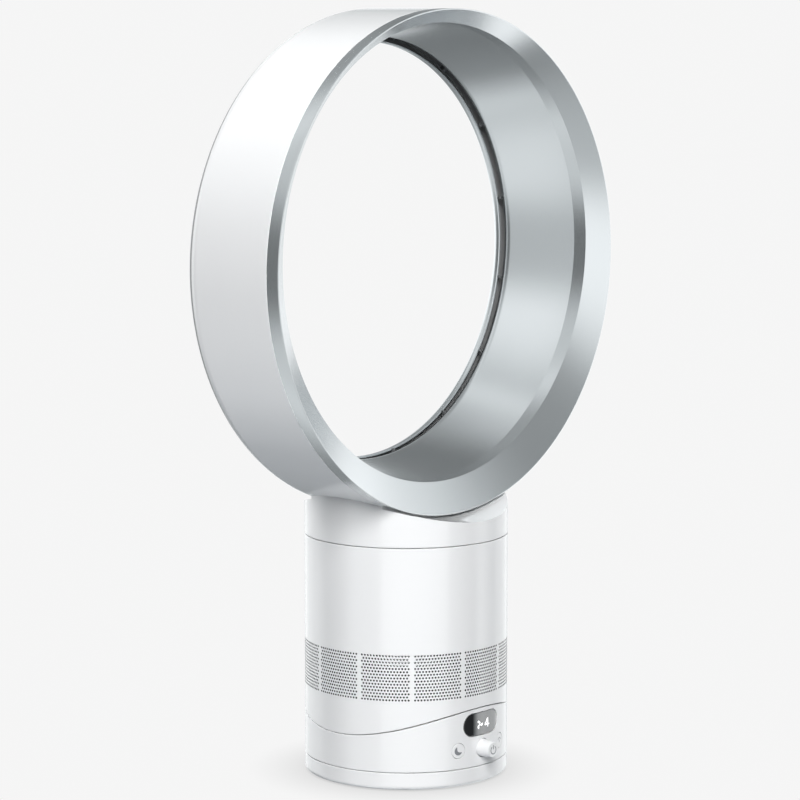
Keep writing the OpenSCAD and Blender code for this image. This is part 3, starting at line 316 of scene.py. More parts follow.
@dataclass(frozen=True)
class Palette:
    """Finishes of the fan by material slot."""

    finishes: tuple[Finish, ...] = (
        Finish("white_gloss", (0.86, 0.865, 0.87), 0.3, coat=1.0, coat_roughness=0.02,
               grain_size=1.6, tone_change=0.01, rough_change=0.03, bump=0.0012),
        Finish("silver_liner", (0.68, 0.7, 0.712), 0.24, metallic=0.95, coat=0.1,
               coat_roughness=0.12, grain=Grain.FLAKED, grain_size=0.12, tone_change=0.06,
               rough_change=0.05, bump=0.0008),
        Finish("black_glass", (0.005, 0.005, 0.006), 0.06, coat=1.0, coat_roughness=0.01,
               coat_ior=2.3, specular=1.0, grain_size=2.0, tone_change=0.1, rough_change=0.02,
               bump=0.0005),
        Finish("display_light", (1.0, 1.0, 1.0), 0.5, glow=0.9, grain_size=0.4, bump=0.001),
        # Painted shade: near-black for the bores of the air holes in the white wall
        Finish("hole_painted_shade", (0.025, 0.027, 0.028), 0.75, grain_size=0.3, tone_change=0.1, bump=0.002),
        # Painted shade: mid-grey for the white casing's faces inside the air slot
        Finish("slot_painted_shade", (0.34, 0.345, 0.35), 0.6, grain_size=0.5, tone_change=0.04, bump=0.0),
        Finish("print_grey", (0.22, 0.23, 0.245), 0.45, grain_size=0.3, tone_change=0.06, bump=0.001),
        Finish("inner_white", (0.72, 0.72, 0.71), 0.5, grain_size=0.6, tone_change=0.04, bump=0.01),
        Finish("inner_grey", (0.16, 0.165, 0.17), 0.5, grain_size=0.6, tone_change=0.06, bump=0.01),
        Finish("impeller_black", (0.022, 0.022, 0.024), 0.42, grain_size=0.7, tone_change=0.08,
               bump=0.008),
        Finish("gear_ivory", (0.7, 0.66, 0.54), 0.46, grain_size=0.8, tone_change=0.05, bump=0.006),
        Finish("rubber", (0.028, 0.028, 0.03), 0.78, grain_size=0.35, tone_change=0.12,
               rough_change=0.1, bump=0.012),
        Finish("foam", (0.07, 0.07, 0.075), 0.95, grain=Grain.PORED, grain_size=1.4,
               tone_change=0.5, rough_change=0.05, bump=0.3),
        Finish("steel", (0.56, 0.57, 0.58), 0.34, metallic=1.0, grain=Grain.TURNED, grain_size=0.8,
               tone_change=0.06, rough_change=0.1, bump=0.003),
        Finish("copper", (0.72, 0.31, 0.14), 0.3, metallic=1.0, grain=Grain.WOUND, grain_size=0.5,
               tone_change=0.2, rough_change=0.08, bump=0.12),
        Finish("circuit_board", (0.02, 0.11, 0.045), 0.42, coat=0.4, grain_size=1.2,
               tone_change=0.3, rough_change=0.08, bump=0.01),
    )

    def finish(self, slot: str) -> bpy.types.Material:
        """Material of a slot, by the slot's name."""
        return next(item for item in self.finishes if item.slot == slot).material()


@dataclass(frozen=True)
class Plan:
    """Sizes that the sub-assemblies share."""

    body_r: float = 73.2
    wall: float = 2.6
    edge: float = 0.35
    columns: int = 408
    foot_top: float = 13.0
    control_low: float = 13.6
    tilt_z: float = 198.2
    saddle_r: float = 160.6
    body_low_r: float = 160.0
    body_top: float = 173.2
    neck_z: float = 173.8
    ring_z: float = 369.0
    bore_lift: float = 6.5
    ring_r: float = 178.0
    ring_columns: int = 288

    @property
    def body_in(self) -> float:
        """Inner radius of the body's wall."""
        return self.body_r - self.wall


PLAN = Plan()


def direction(azimuth: float, elevation: float) -> Vector:
    """Direction away from the fan.

    Args:
        azimuth: Angle from the front towards +X in degrees.
        elevation: Angle above the floor in degrees.

    Returns:
        The unit vector.
    """
    turn = math.radians(azimuth)
    lift = math.radians(elevation)
    return Vector((math.sin(turn) * math.cos(lift), -math.cos(turn) * math.cos(lift), math.sin(lift)))


def arc(centre: Point, radius: float, start: float, end: float, steps: int) -> list[Point]:
    """Points of an arc in even steps from its start to its end, in degrees."""
    angles = [math.radians(start + (end - start) * step / steps) for step in range(steps + 1)]
    return [(centre[0] + radius * math.cos(a), centre[1] + radius * math.sin(a)) for a in angles]


def circle(radius: float, count: int) -> list[Point]:
    """Points of a circle round the origin, counter-clockwise."""
    return arc((0.0, 0.0), radius, 0.0, 360.0, count)[:-1]


def new_piece(name: str, places: Sequence[Sequence[float]],
              faces: Sequence[Sequence[int]]) -> bpy.types.Object:
    """Makes a mesh object from places in millimetres.

    Args:
        name: Name of the piece.
        places: Vertices in millimetres.
        faces: Vertex numbers of each face.

    Returns:
        The object, linked to the scene.
    """
    mesh = bpy.data.meshes.new(name)
    mesh.from_pydata([Vector(place) * MM for place in places], [], faces)
    piece = bpy.data.objects.new(name, mesh)
    bpy.context.scene.collection.objects.link(piece)
    return piece


def settle(piece: bpy.types.Object) -> None:
    """Makes the result of a piece's modifiers its own plain mesh.

    Args:
        piece: Object whose modifiers are used up.
    """
    bpy.context.view_layer.update()
    graph = bpy.context.evaluated_depsgraph_get()
    mesh = bpy.data.meshes.new_from_object(piece.evaluated_get(graph))
    old = piece.data
    piece.modifiers.clear()
    piece.data = mesh
    bpy.data.meshes.remove(old)
    mesh.name = piece.name


def tidy(piece: bpy.types.Object, reach: float = 0.002) -> None:
    """Merges double points and turns every face outwards.

    Args:
        piece: Object whose mesh is tidied.
        reach: Distance of double points in millimetres.
    """
    work = bmesh.new()
    work.from_mesh(piece.data)
    bmesh.ops.remove_doubles(work, verts=work.verts, dist=reach * MM)
    bmesh.ops.dissolve_degenerate(work, edges=work.edges, dist=reach * MM)
    bmesh.ops.recalc_face_normals(work, faces=work.faces)
    work.to_mesh(piece.data)
    work.free()


def cut(piece: bpy.types.Object, tool: bpy.types.Object, operation: str = "DIFFERENCE") -> None:
    """Cuts one solid with another, or joins the two, and removes the tool.

    Args:
        piece: Object that is changed.
        tool: Object that is used up.
        operation: Name of the Boolean operation.
    """
    step = piece.modifiers.new("cut", "BOOLEAN")
    step.solver = "EXACT"
    step.operation = operation
    step.object = tool
    settle(piece)
    mesh = tool.data
    bpy.data.objects.remove(tool)
    bpy.data.meshes.remove(mesh)


def join(first: bpy.types.Object, *others: bpy.types.Object) -> None:
    """Adds the meshes of other objects to the first and removes the others.

    Args:
        first: Object that keeps the mesh.
        others: Objects that are used up.
    """
    work = bmesh.new()
    for piece in (first, *others):
        work.from_mesh(piece.data)
    work.to_mesh(first.data)
    work.free()
    for piece in others:
        mesh = piece.data
        bpy.data.objects.remove(piece)
        bpy.data.meshes.remove(mesh)


@dataclass(frozen=True)
class RoundFace:
    """Cylinder that a cut face should be shaded as.

    The axis is "Z" for the body's axis or "Y" for the ring's direction.
    """

    axis: str
    radius: float
    height: float = 0.0

    def radials(self, places: np.ndarray) -> tuple[np.ndarray, np.ndarray]:
        """Directions away from the axis, and distances from it.

        Args:
            places: Rows of places in millimetres.

        Returns:
            Unit directions and distances.
        """
        away = places.copy()
        if self.axis == "Z":
            away[:, 2] = 0.0
        else:
            away[:, 1] = 0.0
            away[:, 2] -= self.height
        distance = np.linalg.norm(away, axis=1)
        return away / np.maximum(distance, 1e-9)[:, None], distance


WALL_FACES = (RoundFace("Z", PLAN.body_r), RoundFace("Z", PLAN.body_in))


def shade(piece: bpy.types.Object, rounds: Sequence[RoundFace] = (), edge_angle: float = 32.0) -> None:
    """Shades a piece smoothly between its edges, and true on its round faces.

    Args:
        piece: Object to be shaded.
        rounds: Cylinders whose cut faces get the cylinder's own normals.
        edge_angle: Smallest angle in degrees that stays an edge.
    """
    distance_reach = 0.03
    angle_reach = math.cos(math.radians(4))
    mesh = piece.data
    mesh.shade_smooth()
    mesh.set_sharp_from_angle(angle=math.radians(edge_angle))
    if not rounds:
        return
    mesh.update()
    corners = np.empty(len(mesh.loops) * 3)
    mesh.corner_normals.foreach_get("vector", corners)
    corners = corners.reshape(-1, 3)
    points = np.empty(len(mesh.vertices) * 3)
    mesh.vertices.foreach_get("co", points)
    numbers = np.empty(len(mesh.loops), dtype=np.int32)
    mesh.loops.foreach_get("vertex_index", numbers)
    places = points.reshape(-1, 3)[numbers] / MM
    sides = np.empty(len(mesh.polygons) * 3)
    mesh.polygons.foreach_get("normal", sides)
    counts = np.empty(len(mesh.polygons), dtype=np.int32)
    mesh.polygons.foreach_get("loop_total", counts)
    sides = np.repeat(sides.reshape(-1, 3), counts, axis=0)
    for face in rounds:
        away, distance = face.radials(places)
        along = np.sum(away * sides, axis=1)
        on_face = (np.abs(distance - face.radius) < distance_reach) & (np.abs(along) > angle_reach)
        corners[on_face] = away[on_face] * np.sign(along[on_face])[:, None]
    mesh.normals_split_custom_set(corners.tolist())


def finish_piece(piece: bpy.types.Object, material: bpy.types.Material) -> None:
    """Gives all faces of a piece one material."""
    piece.data.materials.clear()
    piece.data.materials.append(material)


def line_inside(piece: bpy.types.Object, material: bpy.types.Material,
                test: Callable[[np.ndarray, np.ndarray, np.ndarray], np.ndarray]) -> None:
    """Gives the faces inside a hole or a slot their own finish.

    Args:
        piece: Object with one finish.
        material: Finish of the inside.
        test: Says from the middles of the faces which of them lie inside.
    """
    mesh = piece.data
    mesh.materials.append(material)
    middles = np.empty(len(mesh.polygons) * 3)
    mesh.polygons.foreach_get("center", middles)
    x, y, z = middles.reshape(-1, 3).T / MM
    numbers = np.empty(len(mesh.polygons), dtype=np.int32)
    mesh.polygons.foreach_get("material_index", numbers)
    numbers[test(x, y, z)] = len(mesh.materials) - 1
    mesh.polygons.foreach_set("material_index", numbers)


def mount(piece: bpy.types.Object, body: str, slot: str, *nodes: str) -> bpy.types.Object:
    """Lets a finished piece ride on its body in place of CAD nodes.

    Args:
        piece: Finished object.
        body: Name of the body that carries it.
        slot: Material slot of the record; not used.
        nodes: CAD nodes that it stands for.

    Returns:
        The same object.
    """
    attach(piece, body)
    if nodes:
        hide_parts(*nodes)
    LOG.info("%s rides on %s, %d faces", piece.name, body, len(piece.data.polygons))
    return piece


class PieceTree:
    """Geometry tree with named inputs that makes the mesh of a piece."""

    name = ""
    sockets: dict[str, str] = {}
    merge_reach = 0.002

    def __init__(self) -> None:
        """Makes the inputs, the nodes of the shape and the output."""
        self.tree = bpy.data.node_groups.new(self.name, "GeometryNodeTree")
        self.inputs: dict[str, str] = {}
        for label, kind in {**self.sockets, "Finish": "Material"}.items():
            socket = self.tree.interface.new_socket(
                label, in_out="INPUT", socket_type="NodeSocket" + kind)
            self.inputs[label] = socket.identifier
        self.tree.interface.new_socket("Piece", in_out="OUTPUT", socket_type="NodeSocketGeometry")
        graph = Graph(self.tree)
        entry = graph.node("NodeGroupInput").socket.node
        wires = {label: Wire(graph, entry.outputs[label]) for label in self.inputs}
        shape = self._shape(graph, wires)
        merged = graph.node("GeometryNodeMergeByDistance", None, {
            "Geometry": shape, "Distance": self.merge_reach * MM})
        real = graph.node("GeometryNodeRealizeInstances", None, {"Geometry": merged})
        done = graph.node("GeometryNodeSetMaterial", None, {
            "Geometry": real, "Material": wires["Finish"]})
        graph.node("NodeGroupOutput", None, {0: done})

    def _shape(self, graph: Graph, wires: dict[str, Wire]) -> Wire:
        """Makes the nodes of the shape.

        Args:
            graph: Graph of the tree.
            wires: Wires of the inputs by name.

        Returns:
            The wire of the geometry.
        """
        raise NotImplementedError

    def run(self, piece: bpy.types.Object, values: dict[str, Any]) -> None:
        """Makes the tree's result a piece's own mesh.

        Args:
            piece: Object whose mesh is the first input.
            values: Values of the other inputs by name.
        """
        step = piece.modifiers.new(self.name, "NODES")
        step.node_group = self.tree
        for label, value in values.items():
            step[self.inputs[label]] = value
        settle(piece)


class TurnedSkin(PieceTree):
    """Geometry tree that turns a profile of points round an axis.

    A point's X is its radius and its Z its height. Its attribute "shift" moves its
    circle off the axis, and "rise" is its share in a seam that follows a cylinder
    across the body.
    """

    name = "turned_skin"
    sockets = {"Profile": "Geometry", "Segments": "Int", "Closed": "Int", "Seam Radius": "Float"}

    def _shape(self, graph: Graph, wires: dict[str, Wire]) -> Wire:
        """Turns the profile.

        Args:
            graph: Graph of the tree.
            wires: Wires of the inputs by name.

        Returns:
            The wire of the geometry.
        """
        profile, segments, closed, seam = (wires[label] for label in self.sockets)
        count = graph.node("GeometryNodeAttributeDomainSize", None, {0: profile}, "Point Count")
        columns = segments + 1
        grid = graph.node("GeometryNodeMeshGrid", None, {
            "Vertices X": count + closed, "Vertices Y": columns})
        index = graph.node("GeometryNodeInputIndex")
        row = graph.call("FLOOR", index / columns)
        column = index - row * columns
        row = row % count
        angle = column * (2.0 * math.pi) / segments
        where = graph.node("GeometryNodeInputPosition")
        where = graph.node("GeometryNodeSampleIndex", {"data_type": "FLOAT_VECTOR"},
                           {"Geometry": profile, "Value": where, "Index": row})
        radius, _, height = graph.axes(where)
        shift = self._sample(graph, profile, "shift", row)
        rise = self._sample(graph, profile, "rise", row)
        x = radius * graph.call("COSINE", angle)
        y = radius * graph.call("SINE", angle)
        z = height + rise * (seam - graph.call("SQRT", seam * seam - y * y))
        place = graph.node("ShaderNodeCombineXYZ", None, {0: x, 1: y + shift, 2: z})
        return graph.node("GeometryNodeSetPosition", None, {"Geometry": grid, "Position": place})

    @staticmethod
    def _sample(graph: Graph, profile: Wire, name: str, row: Wire) -> Wire:
        """Reads a named attribute of the profile's point on a row."""
        value = graph.node("GeometryNodeInputNamedAttribute", {"data_type": "FLOAT"}, {"Name": name})
        return graph.node("GeometryNodeSampleIndex", {"data_type": "FLOAT"},
                          {"Geometry": profile, "Value": value, "Index": row})

    def piece(self, name: str, profile: Sequence[Point], material: bpy.types.Material, segments: int,
              shifts: Optional[Sequence[float]] = None, rises: Optional[Sequence[float]] = None,
              seam_r: float = 160.0, closed: bool = True) -> bpy.types.Object:
        """Turns a profile into a plain mesh.

        Args:
            name: Name of the piece.
            profile: Points of radius and height.
            material: Material of the piece.
            segments: Number of segments round the axis.
            shifts: Shift of each point's circle.
            rises: Share of each point in the seam's curve.
            seam_r: Radius of the cylinder that the seam follows.
            closed: Whether the profile is a closed loop.

        Returns:
            The object, with its axis along Z.
        """
        piece = new_piece(name, [(radius, 0.0, height) for radius, height in profile], [])
        for label, values in (("shift", shifts), ("rise", rises)):
            layer = piece.data.attributes.new(label, "FLOAT", "POINT")
            numbers = list(values) if values else [0.0] * len(profile)
            scale = MM if label == "shift" else 1.0
            layer.data.foreach_set("value", [number * scale for number in numbers])
        self.run(piece, {"Segments": segments, "Closed": int(closed), "Seam Radius": seam_r * MM,
                         "Finish": material})
        tidy(piece)
        return piece

    def disc(self, radius: float, low: float, high: float, segments: int,
             material: bpy.types.Material) -> bpy.types.Object:
        """Solid cylinder along Z, from its low to its high end."""
        profile = [(0.0, low), (radius, low), (radius, high), (0.0, high)]
        return self.piece("disc", profile, material, segments, closed=False)


def lay_along_y(piece: bpy.types.Object, height: float, mirrored: bool = False) -> None:
    """Turns a piece whose axis is Z so that its axis runs along Y.

    Args:
        piece: Object whose mesh is turned.
        height: Height of the axis.
        mirrored: Whether heights run towards -Y.
    """
    way = -1.0 if mirrored else 1.0
    turn = Matrix(((1, 0, 0, 0), (0, 0, way, 0), (0, 1, 0, height * MM), (0, 0, 0, 1)))
    piece.data.transform(turn)
    tidy(piece)


@dataclass(frozen=True)
class WallSpot:
    """Place on the round wall, as an angle from the front and a height."""

    angle: float
    height: float

    def place(self, across: float, up: float, radius: Optional[float], depth: float = 0.0) -> Place:
        """Place of a drawn point on a cylinder, or on a plane across the spot.

        Args:
            across: Distance to the right of the spot.
            up: Distance above the spot.
            radius: Radius of the cylinder, or None for the plane.
            depth: Distance of the plane from the axis.

        Returns:
            The place in millimetres.
        """
        out = depth if radius is None else math.sqrt(radius * radius - across * across)
        turn = math.radians(self.angle)
        x = across * math.cos(turn) + out * math.sin(turn)
        y = across * math.sin(turn) - out * math.cos(turn)
        return (x, y, self.height + up)


@dataclass(frozen=True)
class Level:
    """One ring of a piece that follows the wall.

    Grow moves the outline outward. A radius puts the ring on a cylinder, and a
    depth on a plane.
    """

    grow: float
    radius: Optional[float] = None
    depth: float = 0.0


def wall_piece(name: str, spot: WallSpot, outline: Callable[[float], list[Point]],
               levels: Sequence[Level]) -> bpy.types.Object:
    """Solid of rings that follow the wall, closed at both ends.

    Args:
        name: Name of the piece.
        spot: Place of its middle.
        outline: Gives the outline's points for a growth.
        levels: Rings from the front to the back.

    Returns:
        The object.
    """
    places: list[Place] = []
    for level in levels:
        places += [spot.place(x, z, level.radius, level.depth) for x, z in outline(level.grow)]
    count = len(outline(0.0))
    faces: list[tuple[int, ...]] = [tuple(range(count))]
    for row in range(len(levels) - 1):
        for number in range(count):
            after = (number + 1) % count
            faces.append((row * count + number, row * count + after,
                          (row + 1) * count + after, (row + 1) * count + number))
    last = (len(levels) - 1) * count
    faces.append(tuple(range(last + count - 1, last - 1, -1)))
    piece = new_piece(name, places, faces)
    tidy(piece)
    return piece


def ribbon(left: Sequence[Point], right: Sequence[Point], spot: WallSpot, low: Level,
           high: Level) -> tuple[list[Place], list[tuple[int, ...]]]:
    """Thin solid between two lines that are drawn on the wall.

    Args:
        left: Points of one side.
        right: Points of the other side.
        spot: Place of the drawing's middle.
        low: Level of the underside.
        high: Level of the face.

    Returns:
        Its places and faces.
    """
    places: list[Place] = []
    for pair in zip(left, right):
        for level in (high, low):
            places += [spot.place(x, z, level.radius, level.depth) for x, z in pair]
    end = 4 * (len(left) - 1)
    faces: list[tuple[int, ...]] = []
    for a in range(0, end, 4):
        b = a + 4
        faces += [(a, b, b + 1, a + 1), (a + 2, a + 3, b + 3, b + 2),
                  (a, a + 2, b + 2, b), (a + 1, b + 1, b + 3, a + 3)]
    faces += [(0, 1, 3, 2), (end, end + 2, end + 3, end + 1)]
    return places, faces


def stroke(line: Sequence[Point], width: float) -> tuple[list[Point], list[Point]]:
    """The two sides of a line of even width.

    Args:
        line: Points of the middle line.
        width: Width of the stroke.

    Returns:
        The points of the left and of the right side.
    """
    left: list[Point] = []
    right: list[Point] = []
    for number, (x, z) in enumerate(line):
        before = line[max(number - 1, 0)]
        after = line[min(number + 1, len(line) - 1)]
        dx = after[0] - before[0]
        dz = after[1] - before[1]
        size = math.hypot(dx, dz)
        nx = -dz / size * width / 2
        nz = dx / size * width / 2
        left.append((x + nx, z + nz))
        right.append((x - nx, z - nz))
    return left, right


def drawn_piece(name: str, ribbons: Sequence[tuple[Sequence[Point], Sequence[Point]]], spot: WallSpot,
                low: Level, high: Level) -> bpy.types.Object:
    """Several thin solids on the wall as one piece.

    Args:
        name: Name of the piece.
        ribbons: Pairs of side lines.
        spot: Place of the drawing's middle.
        low: Level of the underside.
        high: Level of the face.

    Returns:
        The object.
    """
    places: list[Place] = []
    faces: list[tuple[int, ...]] = []
    for left, right in ribbons:
        more, sides = ribbon(left, right, spot, low, high)
        faces += [tuple(number + len(places) for number in side) for side in sides]
        places += more
    piece = new_piece(name, places, faces)
    tidy(piece, 0.0005)
    shade(piece)
    return piece


@dataclass
class Assembly:
    """Group of pieces that shares the finishes and the turning tree."""

    palette: Palette
    skin: TurnedSkin

    @property
    def white(self) -> bpy.types.Material:
        """Gloss white of the covers."""
        return self.palette.finish("white_gloss")

    def dress(self, piece: bpy.types.Object, finish: str, rounds: Sequence[RoundFace] = ()) -> None:
        """Gives a piece a finish by its slot's name, and shades it."""
        finish_piece(piece, self.palette.finish(finish))
        shade(piece, rounds)


@dataclass
class Foot(Assembly):
    """Round foot under the level seam."""

    columns: int = 288
    low: float = 0.8
    round_r: float = 3.0
    deck_z: float = 10.4
    deck_in: float = 54.0
    gland_z: float = 7.25
    gland_hole_r: float = 4.6
    overrun: float = 6.0

    def build(self) -> list[bpy.types.Object]:
        """Builds and mounts the foot's cover."""
        plan = PLAN
        edge = plan.edge
        profile = [(plan.body_in, self.low)]
        profile += arc((plan.body_r - self.round_r, self.low + self.round_r), self.round_r, -90, 0, 8)
        profile += arc((plan.body_r - edge, plan.foot_top - edge), edge, 0, 90, 3)
        profile += [(self.deck_in, plan.foot_top), (self.deck_in, self.deck_z),
                    (plan.body_in, self.deck_z)]
        cover = self.skin.piece("foot_cover", profile, self.white, self.columns)
        hole = self.skin.disc(self.gland_hole_r, plan.body_in - self.overrun, plan.body_r + self.overrun,
                              48, self.white)
        lay_along_y(hole, self.gland_z)
        cut(cover, hole)
        tidy(cover)
        self.dress(cover, "white_gloss", WALL_FACES)
        return [mount(cover, "foot", "white_gloss", "foot_shell")]


@dataclass
class ControlBase(Assembly):
    """Cover between the level seam and the tilting seam, with its display and keys."""

    display_z: float = 43.7
    display_w: float = 36.5
    display_h: float = 16.5
    glass_sunk: float = 0.2
    glass_t: float = 2.0
    glass_rim: float = 0.5
    light_depth: float = 0.1
    light_rise: float = 0.06
    gap: float = 0.3
    chamfer: float = 0.14
    overrun: float = 10.0
    dial_z: float = 26.0
    dial_root_r: float = 6.4
    dial_tip_r: float = 5.5
    dial_gap: float = 0.4
    dial_tip: float = 83.15
    dial_round: float = 0.5
    dial_dish: float = 0.1
    dial_dish_edge: tuple[float, float] = (0.5, 0.1)
    dial_root_sunk: float = 0.5
    dial_print: tuple[float, float] = (0.05, 0.04)
    dial_flange_r: float = 7.4
    dial_flange_t: float = 1.2
    dial_flange_gap: float = 0.7
    key_z: float = 26.8
    key_angle: float = 17.8
    key_r: float = 5.3
    key_sunk: float = 0.05
    key_rim: float = 0.3
    key_back: float = 66.0
    print_depth: float = 0.08
    print_rise: float = 0.03

    def build(self) -> list[bpy.types.Object]:
        """Builds and mounts the cover, the display, the keys and the dial."""
        pieces = [self._cover(), self._glass()]
        pieces += self._display_marks()
        pieces += self._keys()
        pieces += self._dial()
        return pieces

    def _pill(self, grow: float) -> list[Point]:
        """Outline of the display window.

        Args:
            grow: How far the outline is moved outward.

        Returns:
            The points, with matching places on both long sides.
        """
        half = self.display_h / 2 + grow
        reach = (self.display_w - self.display_h) / 2
        steps = 16
        right = arc((reach, 0.0), half, -90, 90, 24)
        left = arc((-reach, 0.0), half, 90, 270, 24)
        top = [(reach - 2 * reach * step / steps, half) for step in range(1, steps)]
        low = [(-x, -z) for x, z in top]
        return right + top + left + low

    def _key_outline(self, grow: float) -> list[Point]:
        """Outline of a key, moved outward by a distance."""
        return circle(self.key_r + grow, 64)

    def _dial_outline(self, grow: float) -> list[Point]:
        """Outline of the dial's root, moved outward by a distance."""
        return circle(self.dial_root_r + grow, 72)

    def _hole(self, spot: WallSpot, outline: Callable[[float], list[Point]],
              gap: float) -> bpy.types.Object:
        """Tool that cuts a hole with a chamfered rim through the wall.

        Args:
            spot: Place of the hole's middle.
            outline: Outline of the piece in the hole.
            gap: Gap between the piece and the hole.

        Returns:
            The tool.
        """
        plan = PLAN
        wide = gap + 2 * self.chamfer
        levels = [Level(wide, depth=plan.body_r + self.overrun),
                  Level(wide, radius=plan.body_r + self.chamfer),
                  Level(gap, radius=plan.body_r - self.chamfer),
                  Level(gap, depth=plan.body_in - self.overrun)]
        return wall_piece("hole", spot, outline, levels)

    def _cover(self) -> bpy.types.Object:
        """Round wall with its window, dial hole and key holes."""
        plan = PLAN
        edge = plan.edge
        top = plan.tilt_z - plan.saddle_r
        outer = arc((plan.body_r - edge, plan.control_low + edge), edge, -90, 0, 3)
        crown = arc((plan.body_r - edge, top - edge), edge, 0, 90, 3)
        inner = [(plan.body_in, top), (plan.body_in, plan.control_low)]
        profile = outer + crown + inner
        rises = [0.0] * len(outer) + [1.0] * (len(crown) + 1) + [0.0]
        cover = self.skin.piece("control_cover", profile, self.white, plan.columns, rises=rises,
                                seam_r=plan.saddle_r)
        cut(cover, self._hole(WallSpot(0.0, self.display_z), self._pill, self.gap))
        cut(cover, self._hole(WallSpot(0.0, self.dial_z), self._dial_outline, self.dial_gap))
        for side in (-1, 1):
            spot = WallSpot(side * self.key_angle, self.key_z)
            cut(cover, self._hole(spot, self._key_outline, self.gap))
        tidy(cover)
        self.dress(cover, "white_gloss", WALL_FACES)
        return mount(cover, "control_base", "white_gloss", "control_housing")

    def _glass(self) -> bpy.types.Object:
        """Dark window with a rounded rim."""
        face = PLAN.body_r - self.glass_sunk
        half = self.display_h / 2
        rim = self.glass_rim
        levels = [Level(-half, radius=face), Level(-half * 0.6, radius=face), Level(-2.0, radius=face)]
        levels += [Level(grow, radius=face + drop) for grow, drop in arc((-rim, -rim), rim, 90, 0, 4)]
        levels += [Level(0.0, radius=face - self.glass_t), Level(-half, radius=face - self.glass_t)]
        glass = wall_piece("display_glass", WallSpot(0.0, self.display_z), self._pill, levels)
        self.dress(glass, "black_glass", [RoundFace("Z", face)])
        return mount(glass, "control_base", "black_glass", "display_window")

    def _display_marks(self) -> list[bpy.types.Object]:
        """Lit fan sign and numeral on the window."""
        face = PLAN.body_r - self.glass_sunk
        low = Level(0.0, radius=face - self.light_depth)
        high = Level(0.0, radius=face + self.light_rise)
        blades = [self._blade(90.0 + turn * 120.0) for turn in range(3)]
        hub = stroke([(-0.55, 0.0), (0.55, 0.0)], 1.1)
        pieces = [drawn_piece("lit_fan_sign", [*blades, hub], WallSpot(-2.5, 43.2), low, high)]
        numeral = [stroke([(0.85, -3.3), (0.85, 3.3)], 0.95),
                   stroke([(0.75, 3.1), (-2.2, -1.25)], 0.9),
                   stroke([(-2.55, -1.35), (2.5, -1.35)], 0.95)]
        pieces.append(drawn_piece("lit_numeral", numeral, WallSpot(3.8, 43.5), low, high))
        for piece in pieces:
            finish_piece(piece, self.palette.finish("display_light"))
            mount(piece, "control_base", "display_light", "display_segments")
        return pieces

    @staticmethod
    def _blade(turn: float) -> tuple[list[Point], list[Point]]:
        """One curved blade of the fan sign.

        Args:
            turn: Its direction in degrees.

        Returns:
            Its two side lines.
        """
        steps = 8
        root, tip = 0.35, 3.2
        sweep, width = 34.0, 52.0
        left: list[Point] = []
        right: list[Point] = []
        for step in range(steps + 1):
            share = step / steps
            reach = root + (tip - root) * share
            middle = turn + sweep * share
            spread = width * math.sin(math.pi * min(0.12 + 0.8 * share, 1.0)) ** 0.7
            for side, line in ((1, left), (-1, right)):
                angle = math.radians(middle + side * spread / 2)
                line.append((reach * math.cos(angle), reach * math.sin(angle)))
        return left, right

    def _keys(self) -> list[bpy.types.Object]:
        """Two flush keys with their printed signs."""
        face = PLAN.body_r - self.key_sunk
        rim = self.key_rim
        levels = [Level(-self.key_r, radius=face), Level(-self.key_r * 0.5, radius=face),
                  Level(-1.0, radius=face)]
        levels += [Level(grow, radius=face + drop) for grow, drop in arc((-rim, -rim), rim, 90, 0, 3)]
        levels += [Level(0.0, depth=self.key_back), Level(-self.key_r, depth=self.key_back)]
        pieces = []
        low = Level(0.0, radius=face - self.print_depth)
        high = Level(0.0, radius=face + self.print_rise)
        signs = {-1: ("sleep", self._moon()), 1: ("oscillation", self._arcs())}
        for side, (label, drawing) in signs.items():
            spot = WallSpot(side * self.key_angle, self.key_z)
            key = wall_piece(label + "_key_cap", spot, self._key_outline, levels)
            self.dress(key, "white_gloss", [RoundFace("Z", face)])
            mount(key, label + "_key", "white_gloss", label + "_button")
            sign = drawn_piece(label + "_sign", drawing, spot, low, high)
            finish_piece(sign, self.palette.finish("print_grey"))
            mount(sign, label + "_key", "inner_grey")
            pieces += [key, sign]
        return pieces

    @staticmethod
    def _moon() -> list[tuple[list[Point], list[Point]]]:
        """Crescent that opens to the upper right."""
        steps = 24
        outer = arc((0.0, 0.0), 3.1, 65, 295, steps)
        start, end = outer[0], outer[-1]
        hollow = 0.8 * ((start[0] + end[0]) / 2 + 1.0)
        inner = []
        for step in range(steps + 1):
            share = step / steps
            x, z = (first + (last - first) * share for first, last in zip(start, end))
            inner.append((x - hollow * math.sin(math.pi * share), z))
        turn = math.radians(45)
        spin = [[(x * math.cos(turn) - z * math.sin(turn), x * math.sin(turn) + z * math.cos(turn))
                 for x, z in line] for line in (outer, inner)]
        return [(spin[0], spin[1])]

    @staticmethod
    def _arcs() -> list[tuple[list[Point], list[Point]]]:
        """Arc over a post, which stands for turning to and fro."""
        return [stroke(arc((0.0, -0.4), 2.3, 20, 160, 16), 0.6),
                stroke([(0.0, -1.5), (0.0, 0.3)], 0.6)]

